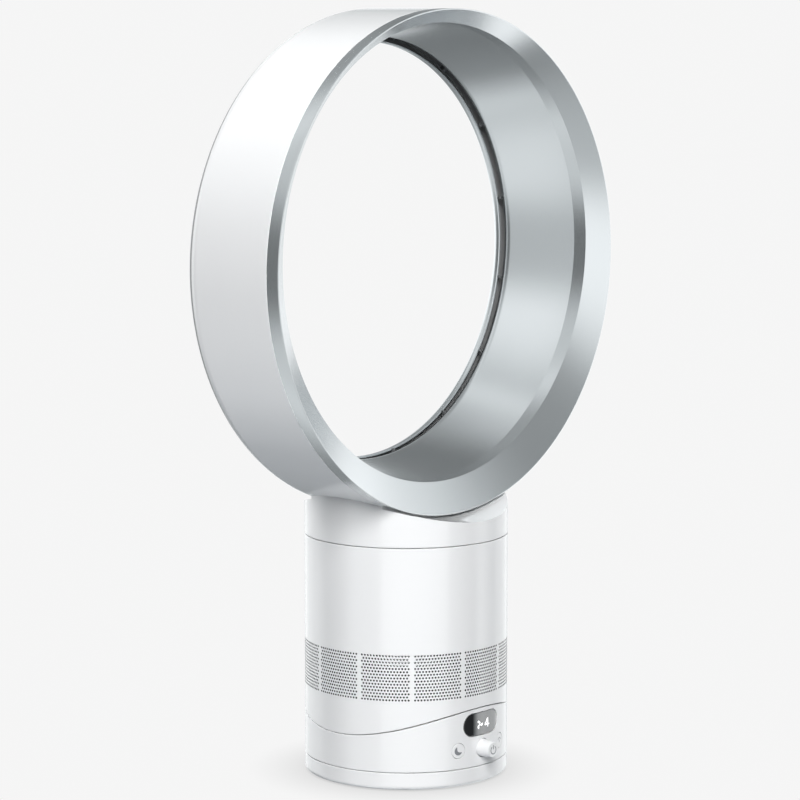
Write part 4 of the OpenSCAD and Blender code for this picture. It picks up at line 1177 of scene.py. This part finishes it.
    def _dial(self) -> list[bpy.types.Object]:
        """Dial that stands out at the front, with its printed sign."""
        root = PLAN.body_in - self.dial_flange_gap
        back = root - self.dial_flange_t
        tip = self.dial_tip
        face = tip - self.dial_dish
        round_r = self.dial_round
        rim = self.dial_tip_r - round_r
        dish_r, edge_r = (rim - inset for inset in self.dial_dish_edge)
        profile = [(0.0, face), (dish_r, face), (edge_r, tip)]
        profile += arc((rim, tip - round_r), round_r, 90, 4, 6)
        profile += [(self.dial_root_r, PLAN.body_r - self.dial_root_sunk), (self.dial_root_r, root),
                    (self.dial_flange_r, root), (self.dial_flange_r, back), (0.0, back)]
        dial = self.skin.piece("dial_knob", profile, self.white, 96, closed=False)
        lay_along_y(dial, self.dial_z, mirrored=True)
        shade(dial)
        mount(dial, "dial", "white_gloss", "power_dial")
        depth, rise = self.dial_print
        low = Level(0.0, depth=face - depth)
        high = Level(0.0, depth=face + rise)
        ring = stroke(arc((0.0, -0.3), 2.75, 122, 418, 32), 0.7)
        bar = stroke([(0.0, 0.3), (0.0, 3.3)], 0.7)
        sign = drawn_piece("power_sign", [ring, bar], WallSpot(0.0, self.dial_z), low, high)
        finish_piece(sign, self.palette.finish("print_grey"))
        mount(sign, "dial", "inner_grey")
        return [dial, sign]


class Perforation(PieceTree):
    """Geometry tree of the blocks of air holes, laid out flat and bent round the wall.

    A flat unit is one column of the wall across, one row of holes up and one wall
    thickness deep. A hole's cell is two columns wide, and every second row of a
    block is moved by one column.
    """

    name = "perforation"
    sockets = {"Cell": "Geometry", "Radius": "Float", "Wall": "Float", "Low Edge": "Float",
               "Row Pitch": "Float"}
    merge_reach = 0.004

    def __init__(self, rows: int, columns: int, blocks: int, block_units: int) -> None:
        """Builds the tree.

        Args:
            rows: Rows of holes in a block.
            columns: Holes in the longest row.
            blocks: Number of blocks.
            block_units: Width of a block with its plain strip, in columns of the wall.
        """
        self.rows = rows
        self.columns = columns
        self.blocks = blocks
        self.block_units = block_units
        super().__init__()

    def _spread(self, graph: Graph, shape: Wire, columns: int, start: float, pitch: float,
                shift: float, keep: Callable[[Wire, Wire], Wire]) -> Wire:
        """Puts a shape on every place of a grid.

        Args:
            graph: Graph of the tree.
            shape: Wire of the shape.
            columns: Columns of the grid.
            start: Place of the first column on the first row.
            pitch: Distance between columns.
            shift: Move of every second row.
            keep: Says from the column and the odd row which places are used.

        Returns:
            The wire of the instances.
        """
        grid = graph.node("GeometryNodeMeshGrid", None, {"Vertices X": columns, "Vertices Y": self.rows})
        index = graph.node("GeometryNodeInputIndex")
        column = graph.call("FLOOR", index / self.rows)
        row = index - column * self.rows
        odd = row % 2
        place = graph.node("ShaderNodeCombineXYZ", None, {
            0: start + column * pitch + odd * shift, 1: row + 0.5, 2: 0.0})
        moved = graph.node("GeometryNodeSetPosition", None, {"Geometry": grid, "Position": place})
        return graph.node("GeometryNodeInstanceOnPoints", None, {
            "Points": moved, "Instance": shape, "Selection": keep(column, odd)})

    def _shape(self, graph: Graph, wires: dict[str, Wire]) -> Wire:
        """Lays the cells and the plain strips out and bends them round.

        Args:
            graph: Graph of the tree.
            wires: Wires of the inputs by name.

        Returns:
            The wire of the geometry.
        """
        cell, radius, wall, low, pitch = (wires[label] for label in self.sockets)
        holes = self._spread(graph, cell, self.columns, 1.0, 2.0, 1.0,
                             lambda column, odd: 1.0 - (column > self.columns - 1.5) * odd)
        front = graph.node("GeometryNodeMeshGrid", None, {
            "Size X": 1.0, "Size Y": 1.0, "Vertices X": 2, "Vertices Y": 2})
        back = graph.node("GeometryNodeTransform", None, {
            "Geometry": front, "Translation": (0.0, 0.0, 1.0)})
        plain = graph.node("GeometryNodeJoinGeometry", None, {0: [front, back]})
        plain = self._spread(graph, plain, 4, 2.0 * self.columns + 0.5, 1.0, -1.0,
                             lambda column, odd: 1.0 - (column > 1.5) * (1.0 - odd))
        block = graph.node("GeometryNodeJoinGeometry", None, {0: [holes, plain]})
        block = graph.node("GeometryNodeRealizeInstances", None, {0: block})
        line = graph.node("GeometryNodeMeshLine", None, {
            "Count": self.blocks, "Offset": (float(self.block_units), 0.0, 0.0)})
        band = graph.node("GeometryNodeInstanceOnPoints", None, {"Points": line, "Instance": block})
        band = graph.node("GeometryNodeRealizeInstances", None, {0: band})
        across, up, deep = graph.axes(graph.node("GeometryNodeInputPosition"))
        turn = (across - float(self.columns)) * (2.0 * math.pi / (self.blocks * self.block_units))
        reach = radius - wall * deep
        place = graph.node("ShaderNodeCombineXYZ", None, {
            0: reach * graph.call("SINE", turn), 1: 0.0 - reach * graph.call("COSINE", turn),
            2: low + pitch * up})
        return graph.node("GeometryNodeSetPosition", None, {"Geometry": band, "Position": place})

    @staticmethod
    def cell(across: float, up: float, sides: int) -> tuple[list[Place], list[tuple[int, ...]]]:
        """Flat cell with one hole through it.

        Args:
            across: Half width of the hole in columns.
            up: Half height of the hole in rows.
            sides: Sides of the hole.

        Returns:
            Its places and faces, one unit each way.
        """
        border = [(1.0, -0.5), (1.0, 0.5), (0.0, 0.5), (-1.0, 0.5), (-1.0, -0.5), (0.0, -0.5)]
        rim = [(across * x, up * z) for x, z in arc((0.0, 0.0), 1.0, 0.0, 360.0, sides)[:-1]]
        places: list[Place] = []
        for deep in (0.0, 1.0):
            places += [(x, z, deep) for x, z in border + rim]
        size = len(border) + sides
        turns = [math.atan2(2 * z, x) % (2 * math.pi) for x, z in border]
        order = sorted(range(len(border)), key=lambda number: turns[number])
        steps = [turns[number] for number in order] + [turns[order[0]] + 2 * math.pi]
        ring = [2 * math.pi * number / sides for number in range(sides + 1)]
        faces: list[tuple[int, ...]] = []
        outer, inner = 0, 0
        while outer < len(border) or inner < sides:
            first = order[outer % len(border)]
            hole = len(border) + inner % sides
            if inner >= sides or (outer < len(border) and steps[outer + 1] < ring[inner + 1] + steps[0]):
                other = order[(outer + 1) % len(border)]
                outer += 1
            else:
                other = len(border) + (inner + 1) % sides
                inner += 1
            faces.append((first, other, hole))
        faces += [tuple(number + size for number in reversed(face)) for face in list(faces)]
        for number in range(sides):
            here = len(border) + number
            after = len(border) + (number + 1) % sides
            faces.append((here, after, after + size, here + size))
        return places, faces


@dataclass
class TiltingBody(Assembly):
    """Cover of the tilting body with its band of air holes."""

    rows: int = 15
    columns: int = 16
    blocks: int = 12
    hole_d: float = 1.5
    row_pitch: float = 2.25
    lowest_row: float = 65.5
    merge_reach: float = 0.006

    def build(self) -> list[bpy.types.Object]:
        """Builds and mounts the body's cover."""
        plan = PLAN
        low_edge = self.lowest_row - self.row_pitch / 2
        high_edge = low_edge + self.rows * self.row_pitch
        cover = self._holes(low_edge)
        join(cover, self._plain_band(low_edge, plan.tilt_z - plan.body_low_r, -1.0, 1.0),
             self._plain_band(high_edge, plan.body_top, 1.0, 0.0))
        tidy(cover, self.merge_reach)
        finish_piece(cover, self.white)
        # The bores of the air holes are painted near-black as painted shade.
        line_inside(cover, self.palette.finish("hole_painted_shade"), lambda x, y, z: (
            (np.hypot(x, y) > plan.body_in + 0.5) & (np.hypot(x, y) < plan.body_r - 0.5)
            & (z > low_edge) & (z < high_edge)))
        shade(cover, WALL_FACES)
        return [mount(cover, "tilting_body", "white_gloss", "body_shell")]

    def _holes(self, low_edge: float) -> bpy.types.Object:
        """Band of the wall with its blocks of holes.

        Args:
            low_edge: Height of the band's lower edge.

        Returns:
            The object.
        """
        plan = PLAN
        column = 2 * math.pi * plan.body_r / plan.columns
        perforation = Perforation(self.rows, self.columns, self.blocks, plan.columns // self.blocks)
        places, faces = perforation.cell(self.hole_d / 2 / column, self.hole_d / 2 / self.row_pitch, 8)
        band = new_piece("body_cover", [tuple(value / MM for value in place) for place in places], faces)
        perforation.run(band, {"Radius": plan.body_r * MM, "Wall": plan.wall * MM,
                               "Low Edge": low_edge * MM, "Row Pitch": self.row_pitch * MM,
                               "Finish": self.white})
        return band

    def _plain_band(self, start: float, end: float, up: float, rise: float) -> bpy.types.Object:
        """Wall from the holes to a seam.

        Args:
            start: Height where the holes end.
            end: Height of the seam.
            up: 1 where the seam is above the holes, and -1 below them.
            rise: Share of the seam in the curve of the tilting seam.

        Returns:
            The object.
        """
        plan = PLAN
        edge = plan.edge
        rim = arc((plan.body_r - edge, end - up * edge), edge, 0, up * 90, 3)
        profile = [(plan.body_r, start), *rim, (plan.body_in, end), (plan.body_in, start)]
        rises = [0.0] + [rise] * (len(rim) + 1) + [0.0]
        return self.skin.piece("plain_band", profile, self.white, plan.columns, rises=rises,
                               seam_r=plan.body_low_r, closed=False)


@dataclass
class AirRing(Assembly):
    """Hollow ring: a white casing with its neck, and a silver liner."""

    front: float = -45.8
    back: float = 46.9
    band: float = -35.0
    flare: float = -34.3
    guide: float = -23.4
    guide_r: float = 162.0
    throat_r: float = 151.9
    corner: float = 16.0
    lip_drop: float = 1.5
    casing_wall: float = 2.6
    liner_wall: float = 2.2
    front_flat: float = 0.8
    front_round: float = 0.35
    front_wall: float = 3.5
    flare_step: float = 0.2
    flare_wall: float = 2.5
    lip_r: float = 155.4
    lip_y: float = 40.9
    lip_round: float = 6.0
    lip_wall: float = 1.3
    lip_reach: float = 1.8
    tip_round: float = 0.3
    nose_y: float = 31.5
    nose_round: float = 10.0
    nose_end: float = 57.0
    shelf_gap: float = 2.0
    shelf_rise: float = 48.0
    overrun: float = 1.0
    step_in: float = 1.0
    groove: float = 0.22

    def build(self) -> list[bpy.types.Object]:
        """Builds and mounts the casing and the liner."""
        return [self._casing(), self._liner()]

    def _turned(self, name: str, rows: Sequence[tuple[float, float, float]],
                material: bpy.types.Material) -> bpy.types.Object:
        """Turns a profile whose circles pass from the ring's axis to the bore's.

        Args:
            name: Name of the piece.
            rows: Radius, place along Y and share of the bore's axis for each point.
            material: Material of the piece.

        Returns:
            The object in its place.
        """
        plan = PLAN
        piece = self.skin.piece(name, [(radius, along) for radius, along, _ in rows], material,
                                plan.ring_columns,
                                shifts=[plan.bore_lift * share for _, _, share in rows])
        lay_along_y(piece, plan.ring_z)
        return piece

    def _casing(self) -> bpy.types.Object:
        """White casing, rolled in at the back, in one piece with its neck."""
        plan = PLAN
        outer = plan.ring_r
        arc_r = outer - self.corner
        arc_y = self.back - self.corner
        groove = self.groove
        share = 1.0 - self.lip_drop / plan.bore_lift
        rows = [(outer - groove, self.band, 0.0), (outer, self.band + groove, 0.0)]
        rows += [(r, y, 0.0) for r, y in arc((arc_r, arc_y), self.corner, 0, 90, 16)]
        rows += [(r, y, share) for r, y in arc((self.lip_r, self.lip_y), self.lip_round, 90, 180, 12)]
        inner = self.lip_round - self.lip_wall
        tip = self.lip_y - self.lip_reach
        rows += [(self.lip_r - self.lip_round, tip + self.tip_round, share),
                 (self.lip_r - self.lip_round + self.tip_round, tip, share),
                 (self.lip_r - inner, tip, share)]
        rows += [(r, y, share) for r, y in arc((self.lip_r, self.lip_y), inner, 180, 90, 8)]
        rows += [(self.lip_r + self.step_in, self.back - self.lip_wall, share),
                 (self.lip_r + self.step_in, self.back - self.casing_wall, share)]
        rows += [(r, y, 0.0) for r, y in arc((arc_r, arc_y), self.corner - self.casing_wall, 90, 0, 6)]
        rows += [(outer - self.casing_wall, self.band, 0.0)]
        casing = self._turned("ring_casing", rows, self.white)
        cut(casing, self._neck(plan.body_r, plan.neck_z, 0.0), "UNION")
        cut(casing, self._neck(plan.body_in, plan.neck_z - self.overrun, self.casing_wall))
        tidy(casing)
        finish_piece(casing, self.white)
        # The white casing's faces inside the air slot are painted mid-grey as painted shade.
        line_inside(casing, self.palette.finish("slot_painted_shade"), self._in_slot)
        line_inside(casing, self.palette.finish("silver_liner"), self._on_lip)
        shade(casing, [*WALL_FACES, RoundFace("Y", outer, plan.ring_z),
                       RoundFace("Y", outer + self.shelf_gap, plan.ring_z)])
        return mount(casing, "air_ring", "white_gloss", "loop_casing")

    def _from_bore(self, x: np.ndarray, z: np.ndarray) -> np.ndarray:
        """Distances from the axis of the rear lip."""
        return np.hypot(x, z - PLAN.ring_z - PLAN.bore_lift + self.lip_drop)

    def _in_slot(self, x: np.ndarray, y: np.ndarray, z: np.ndarray) -> np.ndarray:
        """Faces of the casing inside the air slot, which take a painted shade.

        Args:
            x: Places across the fan.
            y: Places along the bore.
            z: Heights.

        Returns:
            Which of them lie inside.
        """
        bore = self._from_bore(x, z)
        ring = np.hypot(x, z - PLAN.ring_z)
        middle = self.lip_round - self.lip_wall / 2
        curl = np.hypot(bore - self.lip_r, y - self.lip_y) < middle
        curl |= (bore > self.lip_r - middle) & (y < self.lip_y) & (y > self.lip_y - self.lip_reach + 0.1)
        shell = (bore > self.lip_r) & (y < self.back - self.lip_wall / 2) & (y > self.band + 1.0)
        return (curl | shell) & (ring < PLAN.ring_r - 1.0)

    def _on_lip(self, x: np.ndarray, y: np.ndarray, z: np.ndarray) -> np.ndarray:
        """Faces of the casing on the bore side of the rolled rear lip.

        Args:
            x: Places across the fan.
            y: Places along the bore.
            z: Heights.

        Returns:
            Which of them lie there.
        """
        bore = self._from_bore(x, z)
        tip = self.lip_y - self.lip_reach + 0.1
        inner = self.lip_r - self.lip_round + self.lip_wall / 2
        outside = np.hypot(bore - self.lip_r, y - self.lip_y) > self.lip_round - self.lip_wall / 2
        return ((y < self.lip_y) & ((bore < inner) | (y < tip)) & (y > 0.0) & (bore < self.lip_r)
                | (y >= self.lip_y) & outside & (bore < self.lip_r - 0.4 * self.lip_round))

    def _drum(self, radius: float, low: float, high: float) -> bpy.types.Object:
        """Solid disc round the ring's axis.

        Args:
            radius: Its radius.
            low: Its front.
            high: Its back.

        Returns:
            The object.
        """
        drum = self.skin.disc(radius, low, high, PLAN.ring_columns, self.white)
        lay_along_y(drum, PLAN.ring_z)
        return drum

    def _neck(self, radius: float, low: float, lift: float) -> bpy.types.Object:
        """Solid of the neck, whose top is a shelf round the ring.

        Args:
            radius: Radius of the neck.
            low: Height of its lower end.
            lift: How far the shelf and the steps are drawn in.

        Returns:
            The object.
        """
        plan = PLAN
        edge = plan.edge
        top = plan.ring_z - plan.ring_r + self.shelf_rise
        rim = [(radius, low)] if lift else arc((radius - edge, low + edge), edge, -90, 0, 3)
        profile = [(0.0, low), *rim, (radius, top), (0.0, top)]
        neck = self.skin.piece("neck", profile, self.white, plan.columns, closed=False)
        shelf = plan.ring_r + self.shelf_gap + lift
        front = self.band + lift
        rear = self.back - self.corner - lift
        cut(neck, self._drum(shelf, -2 * plan.body_r, front))
        cut(neck, self._drum(shelf, rear, 2 * plan.body_r))
        cut(neck, self._drum(plan.ring_r - self.casing_wall / 2 - lift, front - self.overrun,
                             rear + self.overrun))
        return neck

    def _liner(self) -> bpy.types.Object:
        """Silver band, flare, guide, diffuser and rounded rear edge in one piece."""
        outer = PLAN.ring_r
        inner = outer - self.casing_wall
        wall = self.liner_wall
        step = self.flare_step
        fillet = self.front_round
        groove = self.groove
        slope = math.degrees(math.atan((self.guide_r - self.throat_r) / (self.nose_y - self.guide)))
        nose_r = self.throat_r + self.nose_round
        rows = [(outer, self.band - groove, 0.0)]
        rows += [(r, y, 0.0) for r, y in arc((outer - fillet, self.front + fillet), fillet, 0, -90, 12)]
        rows += [(outer - self.front_flat, self.front, 0.0)]
        rows += [(self.guide_r - step, self.flare - step, 1.0), (self.guide_r, self.flare, 1.0),
                 (self.guide_r, self.guide, 1.0)]
        rows += [(r, y, 1.0) for r, y in arc((nose_r, self.nose_y), self.nose_round,
                                             180 + slope, 180 - self.nose_end, 16)]
        rows += [(r, y, 1.0) for r, y in arc((nose_r, self.nose_y), self.nose_round - wall,
                                             180 - self.nose_end, 180 + slope, 10)]
        rows += [(self.guide_r + wall, self.guide, 1.0),
                 (self.guide_r + wall, self.flare + self.flare_wall, 1.0),
                 (inner, self.front + self.front_wall, 0.0), (inner, self.band, 0.0),
                 (outer - groove, self.band, 0.0)]
        silver = self.palette.finish("silver_liner")
        liner = self._turned("ring_liner", rows, silver)
        finish_piece(liner, silver)
        shade(liner, edge_angle=9.0)
        return mount(liner, "air_ring", "silver_liner", "loop_liner")


@dataclass
class Works:
    """Everything inside the covers and under the foot, which keeps its CAD shape.

    The shaded nodes are painted grey in place of their own finish, as painted shade, because they lie
    deep in the air slot.
    """

    palette: Palette
    shaded: tuple[str, ...] = ("slot_spacers",)

    def dress(self, record: dict[str, Any], nodes: dict[str, bpy.types.Object]) -> None:
        """Gives each CAD node the finish of its material slot.

        Args:
            record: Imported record.
            nodes: CAD objects by name.
        """
        for part in record["subparts"]:
            node = nodes[part["node"]]
            # Nodes deep in the air slot take inner grey as painted shade.
            finish = "inner_grey" if part["node"] in self.shaded else part["material_slot"]
            material = self.palette.finish(finish)
            if not node.data.materials:
                node.data.materials.append(material)
            for slot in node.material_slots:
                slot.material = material
        LOG.info("%d CAD nodes dressed", len(record["subparts"]))


@dataclass(frozen=True)
class Lamp:
    """Soft square lamp that looks at the fan: angles in degrees, sizes in metres."""

    name: str
    azimuth: float
    elevation: float
    distance: float
    size: float
    power: float

    def hang(self, aim: Vector) -> None:
        """Puts the lamp in place.

        Args:
            aim: Place that it looks at.
        """
        light = bpy.data.lights.new(self.name, "AREA")
        light.shape = "SQUARE"
        light.size = self.size
        light.energy = self.power
        lamp = bpy.data.objects.new(self.name, light)
        way = direction(self.azimuth, self.elevation)
        lamp.location = aim + way * self.distance
        lamp.rotation_euler = way.to_track_quat("Z", "Y").to_euler()
        lamp.visible_glossy = False
        bpy.context.scene.collection.objects.link(lamp)


@dataclass
class Studio:
    """Camera at the photographed angle, floor, soft lamps and light tent.

    A level is the brightness that gloss shows in a direction of the tent, given by
    its azimuth in degrees: at the fan's height, above it and below it. The zenith and
    a round window behind the fan have levels of their own, and their edges and those
    of the tiers are soft. The sky and the ground light the fan from all round.
    """

    azimuth: float = -48.09
    elevation: float = 7.22
    distance: float = 2175.4
    focal_pixels: float = 3036.2
    picture: float = 800.0
    sensor: float = 36.0
    aim_right: float = -4.38
    aim_z: float = 268.66
    backdrop: float = 0.917
    contact_reach: float = 0.045
    contact_depth: float = 0.36
    floor_half: float = 300.0
    tent_r: float = 30.0
    tent_bright: float = 2.0
    tent_tint: Place = (0.93, 1.0, 1.02)
    tier_edge: tuple[float, float] = (0.15, 0.5)
    zenith: float = 1.15
    zenith_edge: tuple[float, float] = (0.86, 0.98)
    window_way: tuple[float, float] = (132.0, -7.0)
    window_level: float = 0.92
    window_edge: tuple[float, float] = (21.0, 11.0)
    sky: float = 0.17
    ground: float = 2.7
    ground_start: float = 0.5
    ambient_tint: Place = (0.93, 0.98, 1.04)
    lamps: tuple[Lamp, ...] = (
        Lamp("key_lamp", -47.0, 34.0, 5.2, 2.8, 340.0),
        Lamp("rear_lamp", 170.0, 34.0, 5.2, 2.8, 210.0),
        Lamp("side_lamp", 104.0, 30.0, 5.2, 2.8, 150.0),
    )
    level_round: dict[float, float] = field(default_factory=lambda: {
        -180: 1.5, -164: 1.4, -150: 0.4, -142: 0.18, -122: 0.1, -112: 0.8, -100: 0.5, -86: 0.12,
        -78: 0.15, -74: 1.3, -2: 1.3, 2: 0.12, 22: 0.04, 34: 0.03, 42: 1.4, 50: 1.5, 58: 1.2,
        72: 1.1, 76: 1.48, 112: 1.45, 120: 0.38, 132: 0.32, 148: 1.4, 180: 1.5})
    above_round: dict[float, float] = field(default_factory=lambda: {
        -180: 0.36, -166: 0.75, -155: 1.1, -146: 0.68, -134: 0.66, -112: 1.3, -60: 0.9, -20: 0.8,
        0: 0.4, 28: 0.3, 45: 0.5, 64: 0.95, 80: 1.0, 112: 0.95, 122: 0.22, 135: 0.16, 150: 0.35,
        180: 0.36})
    below_round: dict[float, float] = field(default_factory=lambda: {
        -180: 0.5, -170: 0.6, -156: 1.0, -140: 0.7, -122: 1.05, -60: 0.8, -22: 0.6, -4: 0.4,
        10: 0.3, 44: 0.3, 56: 1.0, 66: 1.5, 80: 1.4, 112: 1.0, 122: 0.35, 135: 0.22, 147: 0.26,
        160: 0.28, 172: 0.3, 180: 0.5})

    def build(self) -> None:
        """Makes the camera, the floor, the lamps, the tent and the world."""
        scene = bpy.context.scene
        scene.view_settings.view_transform = "Standard"
        self._camera(scene)
        self._floor()
        self._world(scene)
        self._tent()
        for lamp in self.lamps:
            lamp.hang(Vector((0.0, 0.0, self.aim_z * MM)))

    def _camera(self, scene: bpy.types.Scene) -> None:
        """Puts the camera where the photograph was taken from.

        Args:
            scene: Scene that gets the camera.
        """
        back = direction(self.azimuth, self.elevation)
        right = direction(self.azimuth + 90.0, 0.0)
        up = back.cross(right)
        lens = bpy.data.cameras.new("camera")
        lens.sensor_width = self.sensor
        lens.lens = self.focal_pixels * self.sensor / self.picture
        lens.clip_end = 3.0 * self.floor_half
        camera = bpy.data.objects.new("camera", lens)
        aim = Vector((0.0, 0.0, self.aim_z)) + right * self.aim_right
        place = (aim + back * self.distance) * MM
        axes = Matrix((right, up, back)).transposed().to_4x4()
        camera.matrix_world = Matrix.Translation(place) @ axes
        scene.collection.objects.link(camera)
        scene.camera = camera

    def _floor(self) -> None:
        """Pale floor with the soft shadow where the foot stands."""
        half = self.floor_half / MM
        front, rear = -0.5 * half, 1.5 * half
        outline = [(-half, front, 0), (half, front, 0), (half, rear, 0), (-half, rear, 0)]
        floor = new_piece("floor", outline, [(0, 1, 2, 3)])
        material, graph = new_material("floor_paint")
        open_share = graph.node("ShaderNodeAmbientOcclusion", {"samples": 16},
                                {"Distance": self.contact_reach}, "AO")
        hidden = 1.0 - open_share
        strength = self.backdrop * (1.0 - self.contact_depth * hidden)
        paint = graph.node("ShaderNodeEmission", None, {"Color": (1.0, 1.0, 1.0), "Strength": strength})
        graph.node("ShaderNodeOutputMaterial", None, {"Surface": paint})
        finish_piece(floor, material)
        floor.visible_glossy = False
        floor.visible_shadow = False
        floor.visible_diffuse = False

    def _tent(self) -> None:
        """Far light tent that only gloss and glass show, with its soft boxes and gaps."""
        work = bmesh.new()
        bmesh.ops.create_uvsphere(work, u_segments=48, v_segments=24, radius=self.tent_r)
        bmesh.ops.reverse_faces(work, faces=work.faces)
        mesh = bpy.data.meshes.new("light_tent")
        work.to_mesh(mesh)
        work.free()
        tent = bpy.data.objects.new("light_tent", mesh)
        bpy.context.scene.collection.objects.link(tent)
        material, graph = new_material("tent_cloth")
        place = graph.node("ShaderNodeTexCoord", output="Object")
        way = [along / self.tent_r for along in graph.axes(place)]
        turn = graph.call("ARCTAN2", way[0], 0.0 - way[1]) / (2.0 * math.pi) + 0.5
        level, above, below = (graph.curve(turn, self._stops(levels)) for levels in (
            self.level_round, self.above_round, self.below_round))
        upper = self._blend(graph, way[2], *self.tier_edge)
        lower = self._blend(graph, 0.0 - way[2], *self.tier_edge)
        shine = level * (1.0 - upper) * (1.0 - lower) + above * upper + below * lower
        top = self._blend(graph, way[2], *self.zenith_edge)
        shine = shine + top * (self.zenith / self.tent_bright - shine)
        shine = shine + self._window(graph, way) * (self.window_level / self.tent_bright - shine)
        tint = graph.mix(shine, self.tent_tint, (1.0, 1.0, 1.0))
        cloth = graph.node("ShaderNodeEmission", None, {
            "Color": tint, "Strength": shine * self.tent_bright})
        graph.node("ShaderNodeOutputMaterial", None, {"Surface": cloth})
        finish_piece(tent, material)
        tent.visible_camera = False
        tent.visible_diffuse = False
        tent.visible_shadow = False

    def _window(self, graph: Graph, way: Sequence[Wire]) -> Wire:
        """Share of the round window behind the fan, which lights its outline.

        Args:
            graph: Graph of the tent.
            way: Wires of the direction's X, Y and Z.

        Returns:
            The wire of the share.
        """
        middle = direction(*self.window_way)
        outer, inner = (math.cos(math.radians(angle)) for angle in self.window_edge)
        near = way[0] * middle.x + way[1] * middle.y + way[2] * middle.z
        return self._blend(graph, near, outer, inner)

    def _world(self, scene: bpy.types.Scene) -> None:
        """Pale backdrop for the camera, and a weak light from all round.

        Args:
            scene: Scene that gets the world.
        """
        world = bpy.data.worlds.new("studio")
        world.use_nodes = True
        scene.world = world
        world.cycles_visibility.glossy = False
        graph = Graph(world.node_tree)
        _, _, way_z = graph.axes(graph.node("ShaderNodeTexCoord", output="Generated"))
        ambient = self.sky * graph.call("MAXIMUM", way_z, 0.0)
        ambient = ambient + self.ground * graph.call("MAXIMUM", -self.ground_start - way_z, 0.0)
        rays = graph.node("ShaderNodeLightPath", output="Is Camera Ray")
        strength = rays * self.backdrop + (1.0 - rays) * ambient
        tint = graph.mix(rays, self.ambient_tint, (1.0, 1.0, 1.0))
        light = graph.node("ShaderNodeBackground", None, {"Color": tint, "Strength": strength})
        graph.node("ShaderNodeOutputWorld", None, {"Surface": light})

    def _stops(self, levels: dict[float, float]) -> list[Point]:
        """Ramp stops from levels by azimuth, as shares of the tent's brightest level."""
        return [((angle + 180.0) / 360.0, level / self.tent_bright) for angle, level in levels.items()]

    @staticmethod
    def _blend(graph: Graph, value: Wire, start: float, end: float) -> Wire:
        """Smooth step of a value between its start and its end."""
        return graph.node("ShaderNodeMapRange", {"interpolation_type": "SMOOTHSTEP"},
                          {"Value": value, "From Min": start, "From Max": end})


def corners(box: Sequence[Sequence[float]]) -> list[list[float]]:
    """Lowest and highest corner of a box as plain lists."""
    return [list(corner) for corner in box]


def main() -> None:
    """Builds the fan's looks and the studio."""
    logging.basicConfig(level=logging.INFO, format="%(name)s: %(message)s")
    palette = Palette()
    skin = TurnedSkin()
    Works(palette).dress(frame["record"], frame["nodes"])
    assemblies = [Foot(palette, skin), ControlBase(palette, skin), TiltingBody(palette, skin),
                  AirRing(palette, skin)]
    for assembly in assemblies:
        pieces = assembly.build()
        LOG.info("%s: %s", type(assembly).__name__, ", ".join(piece.name for piece in pieces))
    Studio().build()


if __name__ == "__main__":
    main()
